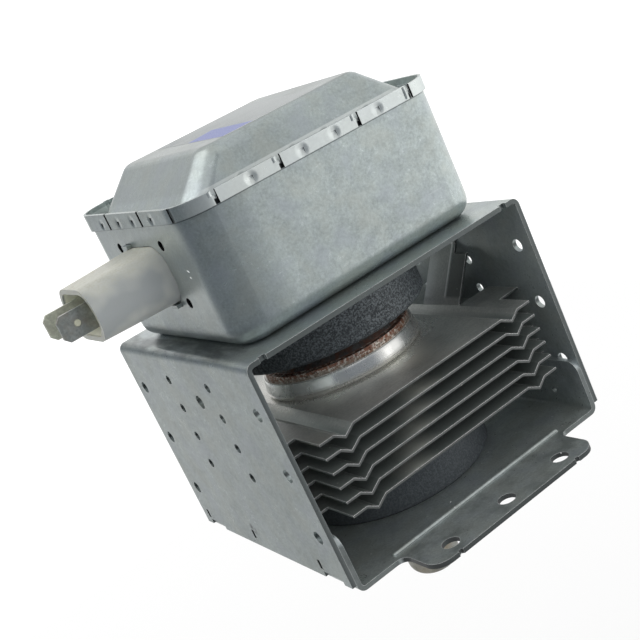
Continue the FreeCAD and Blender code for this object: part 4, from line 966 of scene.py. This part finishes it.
def rim_curls():
    """Bent burrs of the rim beside its slits, a little off the band, and one closed slit at the rear."""
    points, faces = [], []
    across, up = CURL_CELLS
    sheets = [(curl, -RIM_FRONT_Y, -1) for curl in RIM_CURLS] + [(REAR_FOLD, REAR_FOLD_Y, 1)]
    for (left, right, low, high, bulge), face_y, side in sheets:
        faces += grid_corners(len(points), across, up)
        for j in range(up + 1):
            t = j / up
            # The bulge fades toward its low and its high end, and ends at the band to the left and right
            upright = math.sin(math.pi * (0.12 + 0.76 * t)) ** 0.5
            for i in range(across + 1):
                s = i / across
                lift = bulge * math.sin(math.pi * s) ** 0.7 * upright
                points.append((left + (right - left) * s, face_y + side * lift, low + (high - low) * t))
    return piece("rim_curls", points, faces, own_finishes["filter_lid"])


def chips():
    """Loose specks and nicked burrs: flat domes on the sheet that carries them."""
    points, faces = [], []
    for place, normal, long, short, turn in CHIPS:
        up = Vector(normal)
        side = up.orthogonal().normalized()
        other = up.cross(side)
        cosine, sine = math.cos(math.radians(turn)), math.sin(math.radians(turn))
        start = len(points)
        for ring, (reach, rise) in enumerate(CHIP_RINGS):
            for k in range(CHIP_SIDES):
                angle = math.tau * k / CHIP_SIDES
                # A wavy outline with three lobes, different on each chip
                wobble = 1 + 0.22 * math.sin(3 * angle + turn * 0.07 + ring)
                a = long * reach * wobble * math.cos(angle)
                b = short * reach * wobble * math.sin(angle)
                spot = Vector(place) + side * (a * cosine - b * sine) + other * (a * sine + b * cosine)
                points.append(tuple(spot + up * rise))
        faces += ring_faces(start, CHIP_SIDES, len(CHIP_RINGS))
        faces.append(tuple(range(len(points) - CHIP_SIDES, len(points))))
    finish = plain_metal("chip_metal", CHIP_METAL, 0.3)
    return piece("chips", points, faces, finish, smooth=False)


def painted_hole_light():
    """Painted light in the front blade's hole: a round, slightly domed pale plug."""
    (x, y, z), radius, half = BLADE_HOLE_LIGHT
    points = [(x, y - half, z)]
    for reach, depth in DOT_RINGS:
        for k in range(DOT_SIDES):
            angle = math.tau * k / DOT_SIDES
            a, b = radius * reach * math.cos(angle), radius * reach * math.sin(angle)
            points.append((x + a, y + half * depth, z + b))
    points.append((x, y + half, z))
    last = len(points) - 1
    faces = ring_faces(1, DOT_SIDES, len(DOT_RINGS))
    for k in range(DOT_SIDES):
        a, b = k, (k + 1) % DOT_SIDES
        faces.append((0, 1 + b, 1 + a))
        faces.append((last - DOT_SIDES + a, last - DOT_SIDES + b, last))
    finish = dull("hole_light", HOLE_LIGHT_TONES, 0.4)
    return piece("painted_hole_light", points, faces, finish)


draped_label()
rim_curls()
chips()
painted_hole_light()
turned("collar_band", COLLAR_PROFILE, COLLAR_STEPS, collar_aluminium())


def studio():
    """White to the camera. Metal sees a pale room: a wide window, a high softbox and a darker near side."""
    world = bpy.data.worlds.new("studio")
    bpy.context.scene.world = world
    world.use_nodes = True
    g = Graph(world.node_tree)
    direction = g.node("TexCoord").outputs["Generated"]
    rays = g.node("LightPath").outputs
    x, y, z = (g.part(direction, axis) for axis in "XYZ")
    azimuth = g.calc("DEGREES", g.calc("ARCTAN2", y, x))
    elevation = g.calc("DEGREES", g.calc("ARCSINE", z))

    def sector(start, width, soft_in, soft_out):
        angle = g.calc("WRAP", g.minus(azimuth, start), 360.0, 0.0)
        return g.times(g.smooth(angle, 0.0, soft_in), g.smooth(angle, width - soft_out, width, 1.0, 0.0))

    def band(low, soft_low, high, soft_high):
        rise = g.smooth(elevation, low, low + soft_low)
        return g.times(rise, g.smooth(elevation, high - soft_high, high, 1.0, 0.0))

    def spot(compass, height):
        turn = Euler((0, math.radians(-height), math.radians(compass))).to_matrix()
        return g.smooth(g.vector_calc("DOT_PRODUCT", direction, turn @ Vector((1, 0, 0))), *LEFT_SPOT)

    profile = g.calc("MINIMUM", g.smooth(elevation, *WINDOW_BELOW), g.smooth(elevation, *WINDOW_ABOVE))
    window = g.times(sector(*WINDOW_SECTOR), profile, WINDOW_POWER)
    key = g.times(sector(*KEY_SECTOR), band(*KEY_BAND), KEY_POWER)
    upper = g.times(sector(*UPPER_SECTOR), band(*UPPER_BAND), UPPER_POWER)
    left = g.times(spot(*LEFT_SIDE), LEFT_POWER)
    ceiling = g.smooth(elevation, *CEILING_RISE, 0.0, CEILING_POWER)
    room = g.plus(g.plus(window, key), g.plus(left, upper, ROOM_POWER))
    room = g.greater(room, ceiling)
    seen = g.greater(rays["Is Camera Ray"], rays["Is Transmission Ray"])
    tint = g.mix(g.smooth(room, *DIM_TO_BRIGHT), DIM_TINT, BRIGHT_TINT)
    back = g.tree.nodes["Background"]
    g.fill(back, Strength=g.greater(room, seen), Color=g.mix(seen, tint, WHITE))


def floor():
    """Pale floor, far enough below the part for a very soft shadow, and clear to a camera below it."""
    mesh = bpy.data.meshes.new("floor")
    h = FLOOR_HALF
    mesh.from_pydata([(-h, -h, 0), (h, -h, 0), (h, h, 0), (-h, h, 0)], [], [(0, 1, 2, 3)])
    obj = add_object("floor", mesh)
    obj.location = (0, 0, FLOOR_Z)
    p = Paint("floor")
    rays = p.node("LightPath").outputs

    def either(share, first, second):
        node = p.node("MixShader")
        for socket, value in zip(node.inputs, (share, first, second)):
            p.give(socket, value)
        return node.outputs["Shader"]

    distance = p.vector_calc("LENGTH", p.place)
    glow = p.level(distance, FLOOR_NEAR, FLOOR_FAR, FLOOR_NEAR_GLOW, 1.0)
    seen = p.greater(rays["Is Camera Ray"], p.times(rays["Is Glossy Ray"], GLOSSY_FLOOR))
    seen = p.greater(seen, rays["Is Transmission Ray"])
    emission = p.node("Emission").outputs["Emission"]
    lit = either(p.times(seen, glow), p.shader.outputs["BSDF"], emission)
    below = p.times(p.node("NewGeometry").outputs["Backfacing"], rays["Is Camera Ray"])
    clear = p.node("BsdfTransparent").outputs["BSDF"]
    p.fill(p.tree.nodes["Material Output"], Surface=either(below, lit, clear))
    tone = p.mix(rays["Is Glossy Ray"], FLOOR_TONE, FLOOR_MIRRORED)
    mesh.materials.append(p.finish(Base_Color=tone, Roughness=0.9))


def lamp(name, direction, watts):
    """A square softbox that lights the part and doesn't show in its reflections."""
    data = bpy.data.lights.new(name, "AREA")
    data.shape = "RECTANGLE"
    data.size = LAMP_SIDE
    data.size_y = LAMP_SIDE
    data.energy = watts
    obj = add_object(name, data)
    way = Vector(direction).normalized()
    obj.location = Vector(LAMP_AIM) + way * LAMP_DISTANCE
    obj.rotation_euler = way.to_track_quat("Z", "Y").to_euler()
    obj.visible_glossy = False


def camera():
    """The photo's camera."""
    data = bpy.data.cameras.new("camera")
    data.sensor_width = SENSOR_MM
    data.lens = FOCAL_PIXELS / PICTURE_PIXELS * SENSOR_MM
    data.clip_start = NEAREST_SEEN
    obj = add_object("camera", data)
    obj.location = CAMERA_PLACE
    obj.rotation_euler = Euler([math.radians(angle) for angle in CAMERA_TURN])
    bpy.context.scene.camera = obj


studio()
floor()
lamp("front", *FRONT_LAMP)
lamp("above", *ABOVE_LAMP)
camera()

bpy.context.scene.view_settings.view_transform = "Standard"
